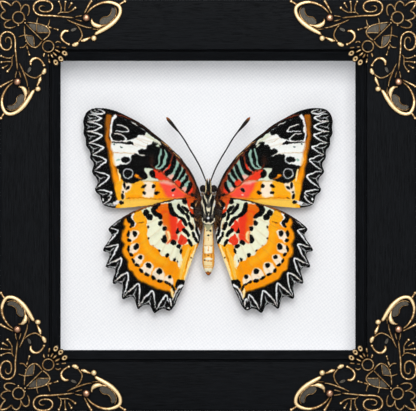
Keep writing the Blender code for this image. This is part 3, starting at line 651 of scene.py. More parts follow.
            ([(34.0, 26.4), (34.2, 25.6), (34.1, 24.6), (33.9, 23.8)], [0.7, 1.15, 0.95, 0.6])),
        ("patch", "black", 0.12, [
            (26.9, 22.0), (27.3, 22.7), (28.2, 23.1), (29.2, 22.8), (31.0, 22.8), (33.2, 22.9),
            (34.6, 22.8), (33.0, 22.6), (30.6, 22.4), (28.6, 22.1)]),
        # spots of the cream field
        *dots("teal", (33.8, 22.1, 0.34, 0.34, 0), (31.1, 21.0, 0.46, 0.3, 0)),
        ("dot", "celadon", (32.3, 16.4), (0.7, 0.4), -20),
        *strokes("tan",
            ([(21.6, 22.4), (23.6, 23.1), (25.6, 24.0)], [0.05, 0.12, 0.05]),
            ([(25.4, 21.3), (26.8, 21.9)], [0.05, 0.12]),
            ([(26.4, 18.7), (29.0, 18.9), (34.4, 19.0)], [0.05, 0.12, 0.2])),
        ("dot", "silver", (29.4, 16.45), (1.88, 1.16), 0),
        ("dot", "black", (29.65, 16.5), (1.62, 1.0), 0),
        # ringed eye and its neighbours in the lower dark patch
        ("stroke", "silver", [
            (28.8, 13.3), (27.6, 12.8), (27.1, 11.5), (27.6, 10.2), (28.8, 9.7), (30.0, 10.2), (30.5, 11.5),
            (30.0, 12.8), (28.8, 13.3)], [0.34, 0.34]),
        ("dot", "black", (31.2, 11.6), (0.5, 1.2), 0),
        ("stroke", "butter", [
            (32.4, 13.0), (32.1, 11.6), (31.7, 10.2), (31.6, 9.0)], [0.3, 0.6, 0.75, 0.5]),
        ("patch", "bronze", 0.4, [
            (23.2, 9.4), (24.4, 9.6), (26.2, 10.2), (26.5, 11.0), (25.3, 11.2), (24.6, 10.4)]),
        ("dot", "orange", (25.6, 10.8), (0.7, 0.35), 10),
        # spots of the orange part
        ("dot", "pink", (12.5, 5.6), (1.15, 0.7), -42),
        ("dot", "black", (12.45, 5.6), (0.92, 0.46), -42),
        ("dot", "pink", (12.5, 3.8), (0.4, 0.3), 0),
        *dots("black",
            (19.6, 6.95, 0.64, 0.6, 0), (23.1, 7.0, 0.86, 0.46, -22), (18.4, 4.55, 0.88, 0.58, -22),
            (23.0, 4.6, 0.66, 0.46, 10), (30.0, 7.3, 0.44, 1.1, -6), (28.8, 6.35, 0.7, 0.36, -42)),
        ("dot", "soot", (30.5, 4.9), (0.46, 0.4), -30),
        *dots("black", (30.7, 3.3, 0.46, 0.95, -8), (31.1, 1.15, 0.74, 0.56, 0)),
        ("stroke", "umber", [(28.2, 2.9), (28.8, 2.6), (29.3, 2.4)], [0.1, 0.4, 0.1]),
        # root
        ("patch", "ember", 0.4, [
            (3.4, 1.6), (4.2, 3.4), (6.0, 3.2), (7.6, 4.0), (8.6, 3.2), (8.0, 1.8), (6.0, 1.6)]),
        ("patch", "umber", 0.5, [(2.6, 2.0), (3.1, 4.6), (3.9, 6.4), (4.6, 5.2), (4.9, 3.9), (4.4, 2.4)]),
        ("dot", "soot", (5.5, 3.9), (0.75, 0.48), 40),
        ("dot", "brick", (6.6, 2.6), (0.65, 0.3), -12),
        ("dot", "chestnut", (5.0, 2.3), (0.7, 0.28), 50),
        ("dot", "black", (4.0, 3.0), (0.5, 0.3), 60),
        # foot of the margin
        *strokes("silver",
            ([(33.2, 0.1), (34.4, 0.1), (36.0, 0.2)], [0.2, 0.3, 0.2]),
            ([(34.2, 0.9), (35.6, 0.5), (37.0, 0.4)], [0.3, 0.3, 0.1])),
        ("dot", "white", (37.6, 2.2), (0.3, 0.4), 0),
        ("stroke", "white", [(34.8, 3.3), (35.3, 2.3), (36.4, 1.3), (37.8, 0.5)], [0.42, 0.4, 0.3, 0.16]),
        ("dot", "silver", (40.6, 34.2), (0.35, 0.25), 0),
    ],
    # white chevrons: upper leg end, through the apex, lower leg end
    "chevrons": [
        [(39.6, 34.4), (38.4, 34.2), (37.2, 33.5), (38.6, 33.0), (40.4, 33.1), (42.0, 33.5)],
        [(42.8, 33.0), (41.2, 32.8), (39.6, 32.2), (38.4, 31.4), (39.8, 30.6), (41.4, 30.3),
         (42.9, 30.5)],
        [(43.4, 30.3), (41.4, 29.9), (39.8, 29.4), (38.2, 28.5), (39.6, 27.4), (41.4, 26.9),
         (43.4, 26.6)],
        [(43.4, 26.8), (41.4, 26.5), (39.6, 26.0), (38.2, 25.2), (39.4, 24.1), (40.9, 23.2),
         (42.9, 22.5)],
        [(42.8, 22.6), (41.0, 22.3), (39.2, 21.7), (37.5, 20.9), (38.9, 19.8), (40.2, 18.9),
         (41.5, 18.2)],
        [(41.3, 18.2), (39.6, 17.8), (38.0, 17.2), (36.6, 16.3), (37.8, 15.0), (39.2, 13.9),
         (40.8, 12.7)],
        [(40.7, 12.3), (38.8, 12.0), (37.0, 11.4), (35.6, 10.4), (36.6, 9.0), (38.2, 7.7), (39.9, 6.4)],
        [(39.6, 5.6), (37.8, 5.6), (36.0, 5.2), (34.7, 4.5), (35.4, 3.7), (36.2, 3.2)],
    ],
    # grey forks inside them: stem, fork, and the two tips
    "forks": [
        [(39.4, 33.8), (41.0, 33.5), (42.2, 33.9), (41.8, 33.2)],
        [(40.0, 31.5), (42.2, 31.4), (43.3, 32.3), (43.2, 30.9)],
        [(40.2, 28.5), (42.6, 28.3), (43.7, 29.3), (43.5, 27.4)],
        [(40.1, 25.0), (42.0, 24.9), (43.3, 25.6), (42.7, 23.8)],
        [(39.0, 20.9), (41.0, 20.6), (42.7, 21.7), (41.6, 18.9)],
        [(37.9, 16.0), (39.9, 15.7), (41.5, 17.3), (40.4, 14.1)],
        [(36.9, 10.2), (38.8, 9.8), (40.3, 11.2), (39.5, 7.9)],
        [(36.0, 4.3), (37.6, 4.0), (39.2, 4.6), (37.9, 3.2)],
    ],
}

hindwing = {
    "outline": [
        (2.6, 0.8), (5.4, 2.4), (8.0, 2.8), (10.5, 2.5), (13.2, 2.1), (16.0, 1.5), (18.9, 0.7),
         (21.7, -0.2),
        (24.0, -1.0), (26.3, -1.8), (28.6, -3.0), (30.3, -4.0), (32.0, -5.1), (33.7, -6.4),
        (35.0, -7.5), (35.7, -8.4), (35.5, -9.2), (34.8, -10.2), (35.0, -11.4), (35.6, -12.6),
         (36.6, -13.9), (37.4, -15.2), (37.7, -16.1),
        (37.0, -16.5), (35.9, -16.7), (35.4, -17.4), (35.4, -18.4), (35.9, -19.6), (36.5, -21.0),
         (36.7, -22.0), (36.0, -22.3), (34.4, -22.3), (33.6, -22.9), (33.4, -24.0),
        (33.8, -25.4), (34.2, -26.8), (34.2, -27.8), (33.6, -28.1), (32.2, -27.8), (31.2, -28.3),
         (30.7, -29.5), (30.8, -31.2), (31.0, -32.6), (30.6, -33.5),
        (29.6, -33.3), (28.2, -32.7), (27.0, -32.9), (26.3, -33.9), (25.9, -35.3), (25.6, -36.6),
         (25.0, -37.1), (24.0, -36.4), (22.6, -35.5),
        (21.3, -35.6), (20.4, -36.6), (19.9, -37.8), (19.2, -38.6), (18.3, -38.1), (17.2, -37.3),
         (15.8, -37.0), (14.8, -37.5), (14.0, -37.7), (13.1, -37.3),
        (12.0, -35.8), (10.9, -33.2), (9.6, -30.6), (8.6, -28.5), (8.1, -26.2), (7.2, -23.6),
         (5.7, -19.6), (4.2, -15.9),
        (3.2, -13.4), (2.8, -11.0), (2.6, -5.0),
    ],
    "marks": [
        # orange field
        ("patch", "orange", 0.9, [
            (24.6, -2.0), (27.0, -2.9), (29.0, -4.2), (30.0, -5.0), (30.3, -6.4), (29.8, -7.6),
            (30.5, -9.2), (31.0, -10.6), (31.1, -12.0), (30.5, -13.0), (30.0, -14.0), (30.6, -15.4),
            (30.6, -16.8), (30.1, -18.2), (29.0, -19.3), (28.8, -20.6), (28.7, -21.9), (28.3, -23.1),
            (27.1, -23.8), (26.2, -25.2), (25.4, -26.5), (24.4, -27.0), (23.2, -27.5), (21.8, -28.2),
            (20.6, -28.8), (19.0, -29.4), (17.4, -30.0), (15.9, -30.5), (14.6, -30.6), (13.6, -31.2),
            (12.9, -32.6), (12.2, -31.4), (11.0, -28.6), (9.2, -26.9), (8.0, -25.6), (7.0, -22.6),
            (5.4, -18.6), (4.0, -15.3), (3.4, -13.5), (5.5, -11.0), (8.0, -8.0), (12.0, -2.0),
            (20.0, -1.0)]),
        *patches("amber", 1.6,
            [(4.0, -14.0), (8.0, -14.6), (9.4, -20.0), (11.0, -26.0), (12.0, -30.4), (8.4, -26.4),
            (5.6, -18.8)],
            [(22.4, -6.0), (25.0, -8.0), (24.0, -12.0), (23.0, -16.0), (19.4, -19.4), (15.0, -21.4),
            (15.4, -19.4), (19.0, -17.2), (21.8, -13.0)]),
        # cream field
        ("patch", "ivory", 0.25, [
            (8.6, 2.2), (12.0, 1.9), (14.2, 1.5), (17.0, 0.9), (19.5, 0.1), (21.5, -0.7), (23.8, -1.5),
            (23.6, -2.6), (22.8, -4.0), (21.9, -5.4), (22.0, -7.0), (21.7, -8.6), (21.9, -10.2),
            (21.4, -12.2), (20.9, -13.8), (19.8, -14.6), (18.6, -15.4), (17.5, -16.4), (16.9, -17.8),
            (15.6, -18.2), (14.0, -18.5), (13.5, -19.6), (12.1, -19.9), (11.2, -20.4), (10.6, -22.0),
            (9.9, -21.7), (9.2, -19.6), (9.6, -16.5), (9.2, -14.4), (7.4, -13.9), (5.4, -14.2),
            (4.0, -13.8), (3.3, -13.0), (3.6, -10.0), (4.4, -8.0), (5.0, -5.0), (6.0, -2.0), (7.4, 0.6)]),
        ("patch", "mist", 1.2, [
            (9.4, 1.8), (13.0, 1.3), (12.4, -1.0), (10.6, -3.0), (8.8, -3.6), (8.6, -0.5)]),
        ("patch", "mist", 0.8, [(19.4, -0.4), (22.6, -1.4), (21.6, -2.4), (20.4, -1.8)]),
        # yellow and cream strips of the inner margin
        ("stroke", "butter", [
            (4.4, -14.4), (5.6, -18.0), (7.0, -22.0), (8.0, -25.4), (8.7, -27.4)],
            [0.5, 0.9, 1.0, 1.0, 0.5]),
        ("stroke", "gold", [(6.8, -15.4), (8.2, -18.8), (9.0, -22.0), (10.0, -26.4)], [0.5, 1.3, 1.2, 0.6]),
        ("stroke", "bronze", [(6.0, -15.4), (6.9, -18.6), (8.0, -22.6)], [0.2, 0.35, 0.1]),
        ("stroke", "butter", [(9.6, -20.0), (9.9, -22.0), (10.3, -23.0)], [0.6, 0.7, 0.1]),
        ("dot", "umber", (6.0, -18.7), (0.3, 0.35), 0),
        # pale ground under the eyespots
        *patches("flesh", 0.4,
            [(24.5, -9.4), (25.7, -8.5), (27.3, -8.9), (28.4, -10.1), (28.6, -11.7), (28.1, -13.0),
            (27.3, -13.7), (26.6, -12.6), (25.3, -11.7)],
            [(24.4, -14.5), (25.3, -13.4), (27.1, -13.6), (28.2, -14.9), (28.4, -16.7), (27.8, -17.8),
            (26.7, -17.3), (25.1, -16.7)],
            [(22.7, -18.3), (23.9, -17.3), (25.5, -17.6), (26.8, -19.0), (27.2, -20.5), (25.7, -21.3),
            (24.8, -21.7), (23.7, -20.5)],
            [(19.6, -21.3), (20.9, -20.0), (22.7, -20.4), (24.3, -22.2), (24.4, -23.5), (22.5, -24.6),
            (20.9, -25.3), (19.8, -23.3)],
            [(15.6, -23.7), (17.0, -22.3), (19.0, -22.6), (20.1, -24.4), (20.1, -25.7), (18.1, -26.8),
            (16.1, -27.0), (15.4, -25.5)],
            [(12.5, -25.9), (13.4, -24.8), (15.0, -24.9), (16.0, -26.4), (15.6, -27.7), (13.8, -28.1),
            (12.5, -29.0), (12.3, -27.5)]),
        # eyespots, then the dashes outside them
        *dots("black",
            (26.3, -10.05, 0.76, 0.96, 12), (25.75, -14.8, 0.9, 1.05, 20), (24.25, -18.5, 0.66, 0.74, 30),
            (21.4, -21.5, 0.86, 0.88, 0), (17.4, -23.65, 0.98, 0.94, 0), (13.7, -25.55, 0.6, 0.64, 0),
            (28.6, -10.1, 0.46, 1.15, 10), (28.3, -12.5, 0.78, 0.52, 20), (28.5, -15.6, 0.4, 1.05, 6),
            (27.6, -17.6, 0.76, 0.42, 42), (26.9, -19.9, 0.4, 0.86, -22), (25.5, -21.3, 0.76, 0.46, 20),
            (24.1, -23.4, 0.48, 0.88, -38), (22.0, -24.7, 0.92, 0.5, 24), (19.6, -26.0, 1.0, 0.46, 34),
            (17.3, -27.05, 0.96, 0.5, 6), (15.0, -27.6, 0.84, 0.42, 36), (13.7, -28.3, 0.5, 0.36, 40),
            (12.5, -29.6, 0.4, 1.25, -16)),
        # white edged hook near the front corner
        ("patch", "amber", 0.3, [
            (22.2, -4.8), (23.2, -3.2), (24.2, -1.9), (25.6, -2.1), (26.6, -3.2), (26.5, -5.0),
            (25.8, -6.2), (24.4, -5.9), (22.9, -5.6)]),
        ("patch", "cream", 0.25, [
            (26.3, -2.6), (27.4, -3.0), (28.6, -4.0), (29.3, -4.8), (28.7, -5.8), (28.0, -6.0),
            (28.0, -7.2), (27.2, -7.9), (26.4, -7.4), (25.7, -6.4), (26.5, -5.4), (27.0, -4.2)]),
        ("stroke", "black", [
            (28.0, -3.5), (28.5, -4.5), (28.0, -5.4), (27.2, -6.0), (27.3, -6.9), (27.8, -7.6)],
            [1.0, 1.5, 1.6, 1.4, 1.2, 0.8]),
        ("patch", "umber", 0.3, [(23.0, -5.8), (24.2, -6.0), (25.2, -6.4), (24.2, -6.3)]),
        *dots("black", (21.0, -4.1, 1.14, 1.1, 0), (22.2, -2.6, 1.04, 1.1, 20)),
        # red and orange patches with their black hooks
        ("patch", "flame", 0.25, [
            (14.4, 0.7), (16.8, 0.4), (18.2, -0.6), (18.6, -1.8), (17.9, -2.8), (16.4, -3.4), (15.8, -4.2),
            (14.4, -4.0), (13.6, -3.0), (14.1, -1.6), (13.9, -0.3)]),
        ("patch", "red", 0.7, [
            (11.4, -4.2), (12.6, -3.3), (14.0, -2.1), (16.2, -2.0), (16.9, -3.4), (16.2, -4.6),
            (16.0, -6.2), (15.7, -7.2), (14.9, -6.6), (14.7, -8.0), (14.9, -9.4), (14.4, -11.6),
            (14.7, -13.6), (13.6, -13.0), (12.4, -12.4), (11.4, -12.6), (10.9, -11.0), (11.3, -9.0),
            (11.0, -7.0), (11.0, -5.2)]),
        ("patch", "flame", 1.3, [
            (14.2, -2.6), (16.4, -2.6), (16.3, -6.4), (15.3, -7.2), (14.5, -8.4), (14.9, -9.6),
            (14.4, -12.8), (13.7, -12.4), (13.5, -9.0), (14.0, -5.0)]),
        ("patch", "butter", 0.5, [
            (14.1, -9.2), (14.7, -9.4), (14.3, -11.8), (14.6, -13.0), (13.7, -12.2), (13.6, -10.4)]),
        *patches("red", 0.2,
            [(9.6, -5.2), (10.9, -6.2), (11.2, -7.8), (10.4, -9.5), (9.4, -9.3), (8.2, -8.0), (9.2, -6.6)],
            [(9.7, -9.9), (10.4, -11.4), (11.0, -12.8), (10.2, -13.9), (9.0, -14.2), (7.3, -12.6),
            (8.0, -11.4), (9.0, -10.8)]),
        *strokes("black",
            ([(17.6, 0.7), (18.8, -0.3), (19.5, -1.6), (18.9, -2.9), (17.6, -3.5), (17.0, -4.2)],
            [1.1, 1.9, 1.75, 1.7, 1.5, 1.1]),
            ([(13.7, 0.6), (13.4, -0.8), (13.0, -2.2), (12.2, -3.1), (11.4, -3.5)],
            [1.0, 1.6, 1.75, 1.5, 1.2])),
        *dots("black", (17.1, -6.3, 0.78, 0.86, 30), (15.6, -8.3, 0.66, 0.84, 20)),
        ("patch", "black", 0.15, [
            (15.2, -10.4), (16.0, -11.0), (16.7, -12.4), (16.2, -13.2), (15.2, -13.5), (14.9, -12.4),
            (15.1, -11.4)]),
        *dots("black",
            (12.4, -13.3, 0.95, 0.86, -20), (10.5, -14.6, 0.86, 0.72, 24), (9.7, -16.4, 0.36, 0.86, 10)),
        ("patch", "black", 0.15, [
            (10.9, -8.0), (11.4, -8.9), (11.4, -9.9), (10.4, -10.0), (10.2, -9.3), (10.8, -8.8)]),
        ("dot", "black", (14.7, -17.85), (0.62, 0.74), 10),
        *dots("umber",
            (17.5, -16.2, 0.5, 0.36, 30), (21.4, -7.7, 0.4, 0.6, 10), (21.3, -11.8, 0.4, 0.4, 0)),
        ("dot", "tan", (19.6, -14.4), (0.4, 0.3), 40),
        ("dot", "black", (11.9, -19.4), (0.34, 0.62), 10),
        ("dot", "umber", (11.0, -20.0), (0.2, 0.5), 0),
        # root, then the bars beside it
        ("patch", "umber", 0.5, [
            (2.4, 1.0), (4.6, 2.2), (4.8, 0.4), (4.6, -1.2), (5.0, -3.0), (5.0, -4.8), (4.6, -7.0),
            (3.6, -9.0), (2.6, -11.0), (2.4, -4.0)]),
        ("patch", "ember", 0.4, [
            (4.6, 2.6), (7.8, 2.8), (7.5, 0.8), (7.2, -0.2), (6.7, -1.4), (6.1, -2.3), (5.2, -3.0),
            (5.4, -1.4), (6.0, -0.4), (5.4, 1.4)]),
        *strokes("red",
            ([(7.0, 2.2), (7.1, 1.0), (7.0, 0.0)], [0.2, 0.6, 0.2]),
            ([(6.7, -1.4), (6.0, -2.2), (5.4, -2.8)], [0.4, 0.6, 0.2])),
        ("dot", "black", (5.3, 0.2), (0.82, 1.0), -15),
        ("stroke", "tan", [(3.4, 1.6), (4.2, 0.6), (4.6, -0.4)], [0.1, 0.35, 0.1]),
        ("stroke", "cream", [(6.2, -0.5), (5.6, -1.0)], [0.2, 0.45]),
        ("stroke", "tan", [(4.9, -4.2), (4.0, -5.6), (3.4, -6.6)], [0.15, 0.35, 0.15]),
        ("stroke", "chestnut", [(3.0, -5.2), (2.8, -7.4), (2.7, -10.0)], [0.4, 0.8, 0.6]),
        ("stroke", "tan", [(5.6, -6.0), (5.2, -7.4), (5.0, -8.6)], [0.15, 0.4, 0.3]),
        ("stroke", "cream", [(5.1, -8.4), (4.6, -9.8), (4.0, -11.0), (3.6, -12.4)], [0.3, 0.5, 0.5, 0.4]),
        *strokes("black",
            ([(10.6, 0.2), (10.3, -0.8), (9.5, -1.8), (8.7, -2.7)], [1.0, 1.35, 1.3, 1.0]),
            ([(9.1, -0.3), (8.2, -1.0), (7.2, -2.1)], [0.6, 1.15, 1.0]),
            ([(7.6, -3.1), (7.3, -4.0), (6.8, -5.1)], [0.9, 1.15, 0.9]),
            ([(6.3, -2.8), (5.9, -3.4), (5.3, -4.0)], [0.6, 1.0, 0.8]),
            ([(10.4, -4.2), (9.3, -4.8), (8.4, -5.8), (7.8, -7.0)], [1.0, 1.1, 1.15, 0.9]),
            ([(6.6, -6.4), (6.1, -7.4), (5.7, -8.3)], [0.9, 1.25, 1.0]),
            ([(8.7, -8.8), (7.6, -9.6), (6.9, -10.9)], [1.0, 1.15, 0.9]),
            ([(5.4, -9.8), (5.2, -11.0)], [0.8, 0.85]),
            ([(4.0, -5.5), (3.4, -6.6), (3.1, -7.3)], [0.5, 0.9, 0.6]),
            ([(4.2, -8.1), (3.9, -9.4), (3.4, -10.6)], [0.6, 0.85, 0.7])),
        ("stroke", "cream", [(3.5, -8.0), (3.2, -9.2), (2.9, -10.2)], [0.25, 0.5, 0.35]),
        *strokes("black",
            ([(4.6, -11.6), (4.1, -12.6), (3.7, -13.3)], [0.8, 0.95, 0.6]),
            ([(6.9, -12.5), (6.4, -13.4), (5.9, -14.4)], [0.9, 1.2, 0.7])),
        ("dot", "black", (8.4, 1.4), (0.95, 0.8), 40),
        ("stroke", "mist", [(10.0, 0.9), (9.4, 0.6), (8.6, -0.2)], [0.1, 0.22, 0.1]),
        # front edge
        ("stroke", "umber", [
            (8.0, 2.6), (12.0, 2.2), (16.0, 1.3), (20.0, 0.2), (24.0, -1.2), (28.0, -2.9), (31.0, -4.8)],
            [0.6, 0.6, 0.7, 0.8, 0.9, 0.9, 0.6]),
        ("stroke", "bronze", [(20.0, 0.0), (23.0, -0.9), (25.6, -1.9), (27.6, -3.1)], [0.1, 0.3, 0.3, 0.1]),
        ("stroke", "tan", [(16.0, 1.4), (18.0, 0.8), (20.0, 0.2)], [0.1, 0.2, 0.1]),
        # inner corner of the margin
        ("patch", "black", 0.15, [
            (8.4, -27.0), (9.4, -26.8), (10.9, -26.7), (11.6, -28.4), (11.6, -29.6), (10.6, -29.0),
            (9.6, -28.2), (8.8, -28.0)]),
        ("patch", "white", 0.2, [
            (8.8, -28.3), (9.6, -28.3), (10.6, -29.0), (11.5, -30.2), (12.3, -32.0), (12.9, -34.0),
            (12.2, -33.0), (11.4, -31.0), (10.6, -29.8), (9.4, -29.4)]),
        ("stroke", "silver", [
            (9.8, -30.3), (10.8, -31.6), (11.8, -33.8), (12.4, -35.6)], [0.3, 0.3, 0.25, 0.1]),
        ("patch", "butter", 0.2, [
            (12.9, -29.8), (13.4, -30.4), (13.1, -32.2), (12.6, -33.4), (12.4, -31.8)]),
        ("dot", "white", (14.2, -36.9), (0.45, 0.25), 20),
        *strokes("white",
            ([(14.2, -34.8), (13.9, -33.6), (13.5, -33.8), (13.2, -35.0), (13.1, -36.2)],
            [0.1, 0.4, 0.4, 0.4, 0.2]),
            ([(34.2, -7.6), (32.8, -6.4), (31.4, -5.4)], [0.1, 0.2, 0.1])),
    ],
    "chevrons": [
        [(34.9, -8.2), (33.6, -8.4), (32.3, -8.9), (33.2, -10.4), (34.6, -12.2), (36.2, -14.1)],
        [(37.2, -15.0), (34.8, -14.5), (32.4, -13.9), (33.0, -15.6), (34.2, -18.2), (35.5, -20.3)],
        [(36.3, -21.2), (33.6, -20.0), (31.2, -19.0), (31.2, -20.6), (32.2, -23.4), (33.1, -25.4)],
        [(33.8, -27.4), (31.2, -25.2), (28.9, -24.2), (28.7, -26.2), (29.3, -29.4), (30.5, -32.2)],
        [(30.4, -32.6), (27.6, -30.0), (25.0, -28.0), (24.6, -30.0), (24.7, -33.0), (24.9, -35.4)],
        [(25.0, -36.1), (22.8, -33.2), (20.2, -30.6), (19.4, -32.0), (19.1, -34.6), (18.9, -36.6)],
        [(18.6, -37.2), (16.9, -34.6), (15.0, -32.1), (14.6, -32.9), (14.7, -34.4)],
    ],
    "forks": [
        [(33.4, -9.9), (34.6, -10.5), (35.2, -9.6), (35.0, -11.6)],
        [(33.4, -14.9), (35.0, -16.3), (36.9, -16.0), (35.1, -18.0)],
        [(32.2, -20.2), (33.4, -22.0), (35.8, -21.9), (33.4, -24.2)],
        [(29.8, -25.6), (31.0, -27.4), (33.4, -27.5), (30.6, -30.4)],
        [(25.7, -29.6), (26.7, -31.9), (29.2, -32.6), (25.8, -34.6)],
        [(20.4, -32.4), (21.3, -34.4), (23.8, -35.7), (20.4, -36.4)],
        [(15.3, -34.2), (15.8, -36.0), (17.4, -36.7), (15.2, -36.9)],
    ],
}


wingShape = {
    "spacing": 0.18,        # mm between the points of a wing's mesh
    "thickness": 0.1,
    "veinRise": 0.1,
    "veinWidth": 0.22,
    "pleat": 0.16,          # how far the membrane dips between veins
    "ragged": 0.05,         # how much a marking's edge wanders
    "grow": {"black": 0.12, "flesh": -0.16},   # mm added all round marks of these colours
    "size": 1.008,          # over the marked places, as the wings lie behind the face
}


def nearest(places, line, closed=False):
    # distance to a line and how far along it, 0 to 1
    start = line if closed else line[:-1]
    end = numpy.roll(line, -1, 0) if closed else line[1:]
    best = numpy.full(len(places), 1e9)
    along = numpy.zeros(len(places))
    foot = numpy.array(places)
    for k in range(len(start)):
        edge = end[k] - start[k]
        share = numpy.clip(((places - start[k]) @ edge) / max(edge @ edge, 1e-12), 0, 1)
        spot = start[k] + share[:, None] * edge
        off = numpy.linalg.norm(places - spot, axis=1)
        closer = off < best
        best[closer] = off[closer]
        along[closer] = (k + share[closer]) / len(start)
        foot[closer] = spot[closer]
    return best, along, foot


def inside(places, loop):
    result = numpy.zeros(len(places), bool)
    for (ax, az), (bx, bz) in zip(loop, numpy.roll(loop, -1, 0)):
        crosses = (az > places[:, 1]) != (bz > places[:, 1])
        edge = ax + (places[:, 1] - az) * (bx - ax) / (bz - az + 1e-12)
        result ^= crosses & (places[:, 0] < edge)
    return result


def markCover(places, mark):
    # how much of each place a mark covers, 0 to 1
    kind = mark[0]
    grown = wingShape["grow"].get(mark[1], 0.0)
    if kind == "patch":
        shape = curveThrough(mark[3], True, 0.3)
        reach = mark[2] + grown
    elif kind == "stroke":
        shape = curveThrough(mark[2], False, 0.25)
        reach = max(mark[3]) / 2 + 0.2
    else:
        shape = numpy.array([mark[2]], float)
        reach = max(mark[3]) + 0.3
    close = ((places > shape.min(0) - reach) & (places < shape.max(0) + reach)).all(1)
    cover = numpy.zeros(len(places))
    if not close.any():
        return cover
    spots = places[close]
    if kind == "patch":
        off = nearest(spots, shape, True)[0]
        off[inside(spots, shape)] *= -1
        cover[close] = numpy.clip(0.5 - (off - grown) / mark[2], 0, 1)
    elif kind == "stroke":
        off, along, _ = nearest(spots, shape)
        half = numpy.interp(along, numpy.linspace(0, 1, len(mark[3])), mark[3]) / 2 + grown
        cover[close] = numpy.clip(0.5 - (off - half) / 0.14, 0, 1)
    else:
        tilt = math.radians(mark[4])
        rel = spots - shape
        u = rel[:, 0] * math.cos(tilt) + rel[:, 1] * math.sin(tilt)
        v = rel[:, 1] * math.cos(tilt) - rel[:, 0] * math.sin(tilt)
        size = numpy.hypot(u / (mark[3][0] + grown), v / (mark[3][1] + grown))
        cover[close] = numpy.clip(0.5 - (size - 1) * min(mark[3]) / 0.14, 0, 1)
    return cover


def wander(places, seed, size):
    # smooth random shifts, so that painted edges are never quite even
    rng = numpy.random.default_rng(seed)
    shift = numpy.zeros_like(places)
    for wave, share in ((3.1, 1.0), (1.3, 0.7), (0.55, 0.6)):
        for _ in range(3):
            heading = rng.uniform(0, 2 * math.pi)
            phase = rng.uniform(0, 2 * math.pi, 2)
            run = places @ numpy.array([math.cos(heading), math.sin(heading)]) * 2 * math.pi / wave
            shift[:, 0] += share * numpy.sin(run + phase[0])
            shift[:, 1] += share * numpy.sin(run + phase[1])
    return places + shift * size + rng.normal(0, size * 0.5, places.shape)


def paintedTones(spots, ground, marks):
    tones = numpy.tile(numpy.array(palette[ground], float), (len(spots), 1))
    for mark in marks:
        cover = markCover(spots, mark)[:, None]
        tones = tones * (1 - cover) + numpy.array(palette[mark[1]], float) * cover
    return tones


def wearTones(bm, tones):
    # gives every point of a mesh its colour, as light values
    layer = bm.verts.layers.float_color.get("tone") or bm.verts.layers.float_color.new("tone")
    lights = numpy.where(tones <= 10.3, tones / 3294.6, ((tones / 255 + 0.055) / 1.055) ** 2.4)
    for vert, light in zip(bm.verts, lights):
        vert[layer] = (*light, 1)


def wingTones(places, wing, seed):
    marks = list(wing["marks"])
    for line in wing["chevrons"]:
        marks.append(("stroke", "white", line, [0.14, 0.32, 0.46, 0.54, 0.46, 0.32, 0.14]))
    for stem, fork, tipA, tipB in wing["forks"]:
        marks.append(("stroke", "silver", [stem, fork, tipA], [0.12, 0.3, 0.16]))
        marks.append(("stroke", "silver", [fork, tipB], [0.26, 0.14]))
    return paintedTones(wander(places, seed, wingShape["ragged"]), "black", marks)


def makeWing(kind, side, wing, plane):
    # a fine sheet cut to the outline, painted, veined, then given its thickness
    sign = 1 if side == "right" else -1
    outline = curveThrough(wing["outline"], True, 0.25)
    low, high = outline.min(0) - 0.4, outline.max(0) + 0.4
    spacing = wingShape["spacing"]
    across, down = ((high - low) / spacing).astype(int)
    bm = bmesh.new()
    # the grid is made in X and Y, and stands up as its points are placed
    bmesh.ops.create_grid(bm, x_segments=int(across), y_segments=int(down), size=1)
    places = numpy.array([vert.co[:2] for vert in bm.verts]) * (high - low) / 2 + (high + low) / 2
    held = inside(places, outline)
    rim, _, foot = nearest(places, outline, True)
    outside = ~held & (rim > spacing * 0.5)
    doomed = [vert for vert, out in zip(bm.verts, outside) if out]
    for vert, spot in zip(bm.verts, places):
        vert.co = (spot[0], spot[1], 0)
    feet = {vert: spot for vert, spot, out in zip(bm.verts, foot, outside) if not out}
    bmesh.ops.delete(bm, geom=doomed, context="VERTS")
    loose = [vert for vert in bm.verts if not vert.link_faces]
    bmesh.ops.delete(bm, geom=loose, context="VERTS")
    for vert in bm.verts:
        if vert.is_boundary:
            vert.co = (*feet[vert], 0)
    bmesh.ops.dissolve_degenerate(bm, dist=0.004, edges=bm.edges)
    places = numpy.array([vert.co[:2] for vert in bm.verts])
    tones = wingTones(places, wing, wing["seed"][side])
    height, ridge = wingRelief(places, wing)
    bright = tones.max(1) / 255
    veinTone = tones * 0.6 + numpy.array(palette["tan"], float) * 0.4
    share = (ridge * numpy.clip(bright - 0.5, 0, 0.5) * 1.1)[:, None]
    tones = tones * (1 - share) + veinTone * share
    warp = (wander(places, 5, 0.03) if side == "left" else places) * wingShape["size"]
    for vert, spot, lift in zip(bm.verts, warp, height):
        vert.co = (sign * spot[0] * mm, plane - lift * mm, midHeight + spot[1] * mm)
    wearTones(bm, tones)
    if sign > 0:
        bmesh.ops.reverse_faces(bm, faces=bm.faces)
    bmesh.ops.solidify(bm, geom=bm.faces[:], thickness=wingShape["thickness"] * mm)
    name = f"{kind}_scaled_{side}"
    return finishPiece(name, bm, [wing["finish"]], [f"{kind}_{side}"], 60)


def wingRelief(places, wing):
    # veins stand up, the membrane sags a little between them and curls at its rim
    off = numpy.full(len(places), 9.0)
    for vein in wing["veins"]:
        off = numpy.minimum(off, nearest(places, curveThrough(vein, False, 0.6))[0])
    ridge = numpy.exp(-((off / wingShape["veinWidth"]) ** 2))
    sag = numpy.clip(off / 2.4, 0, 1) ** 1.5
    height = ridge * wingShape["veinRise"] - sag * wingShape["pleat"]
    root = places - numpy.array(wing["root"])
    reach = numpy.linalg.norm(root, axis=1)
    angle = numpy.arctan2(root[:, 1], root[:, 0])
    height += 0.22 * numpy.sin(angle * 7 + 1.0) * numpy.clip(reach / 30, 0, 1)
    height += 0.35 * numpy.sin(numpy.clip(reach / 44, 0, 1) * math.pi)
    return height, ridge


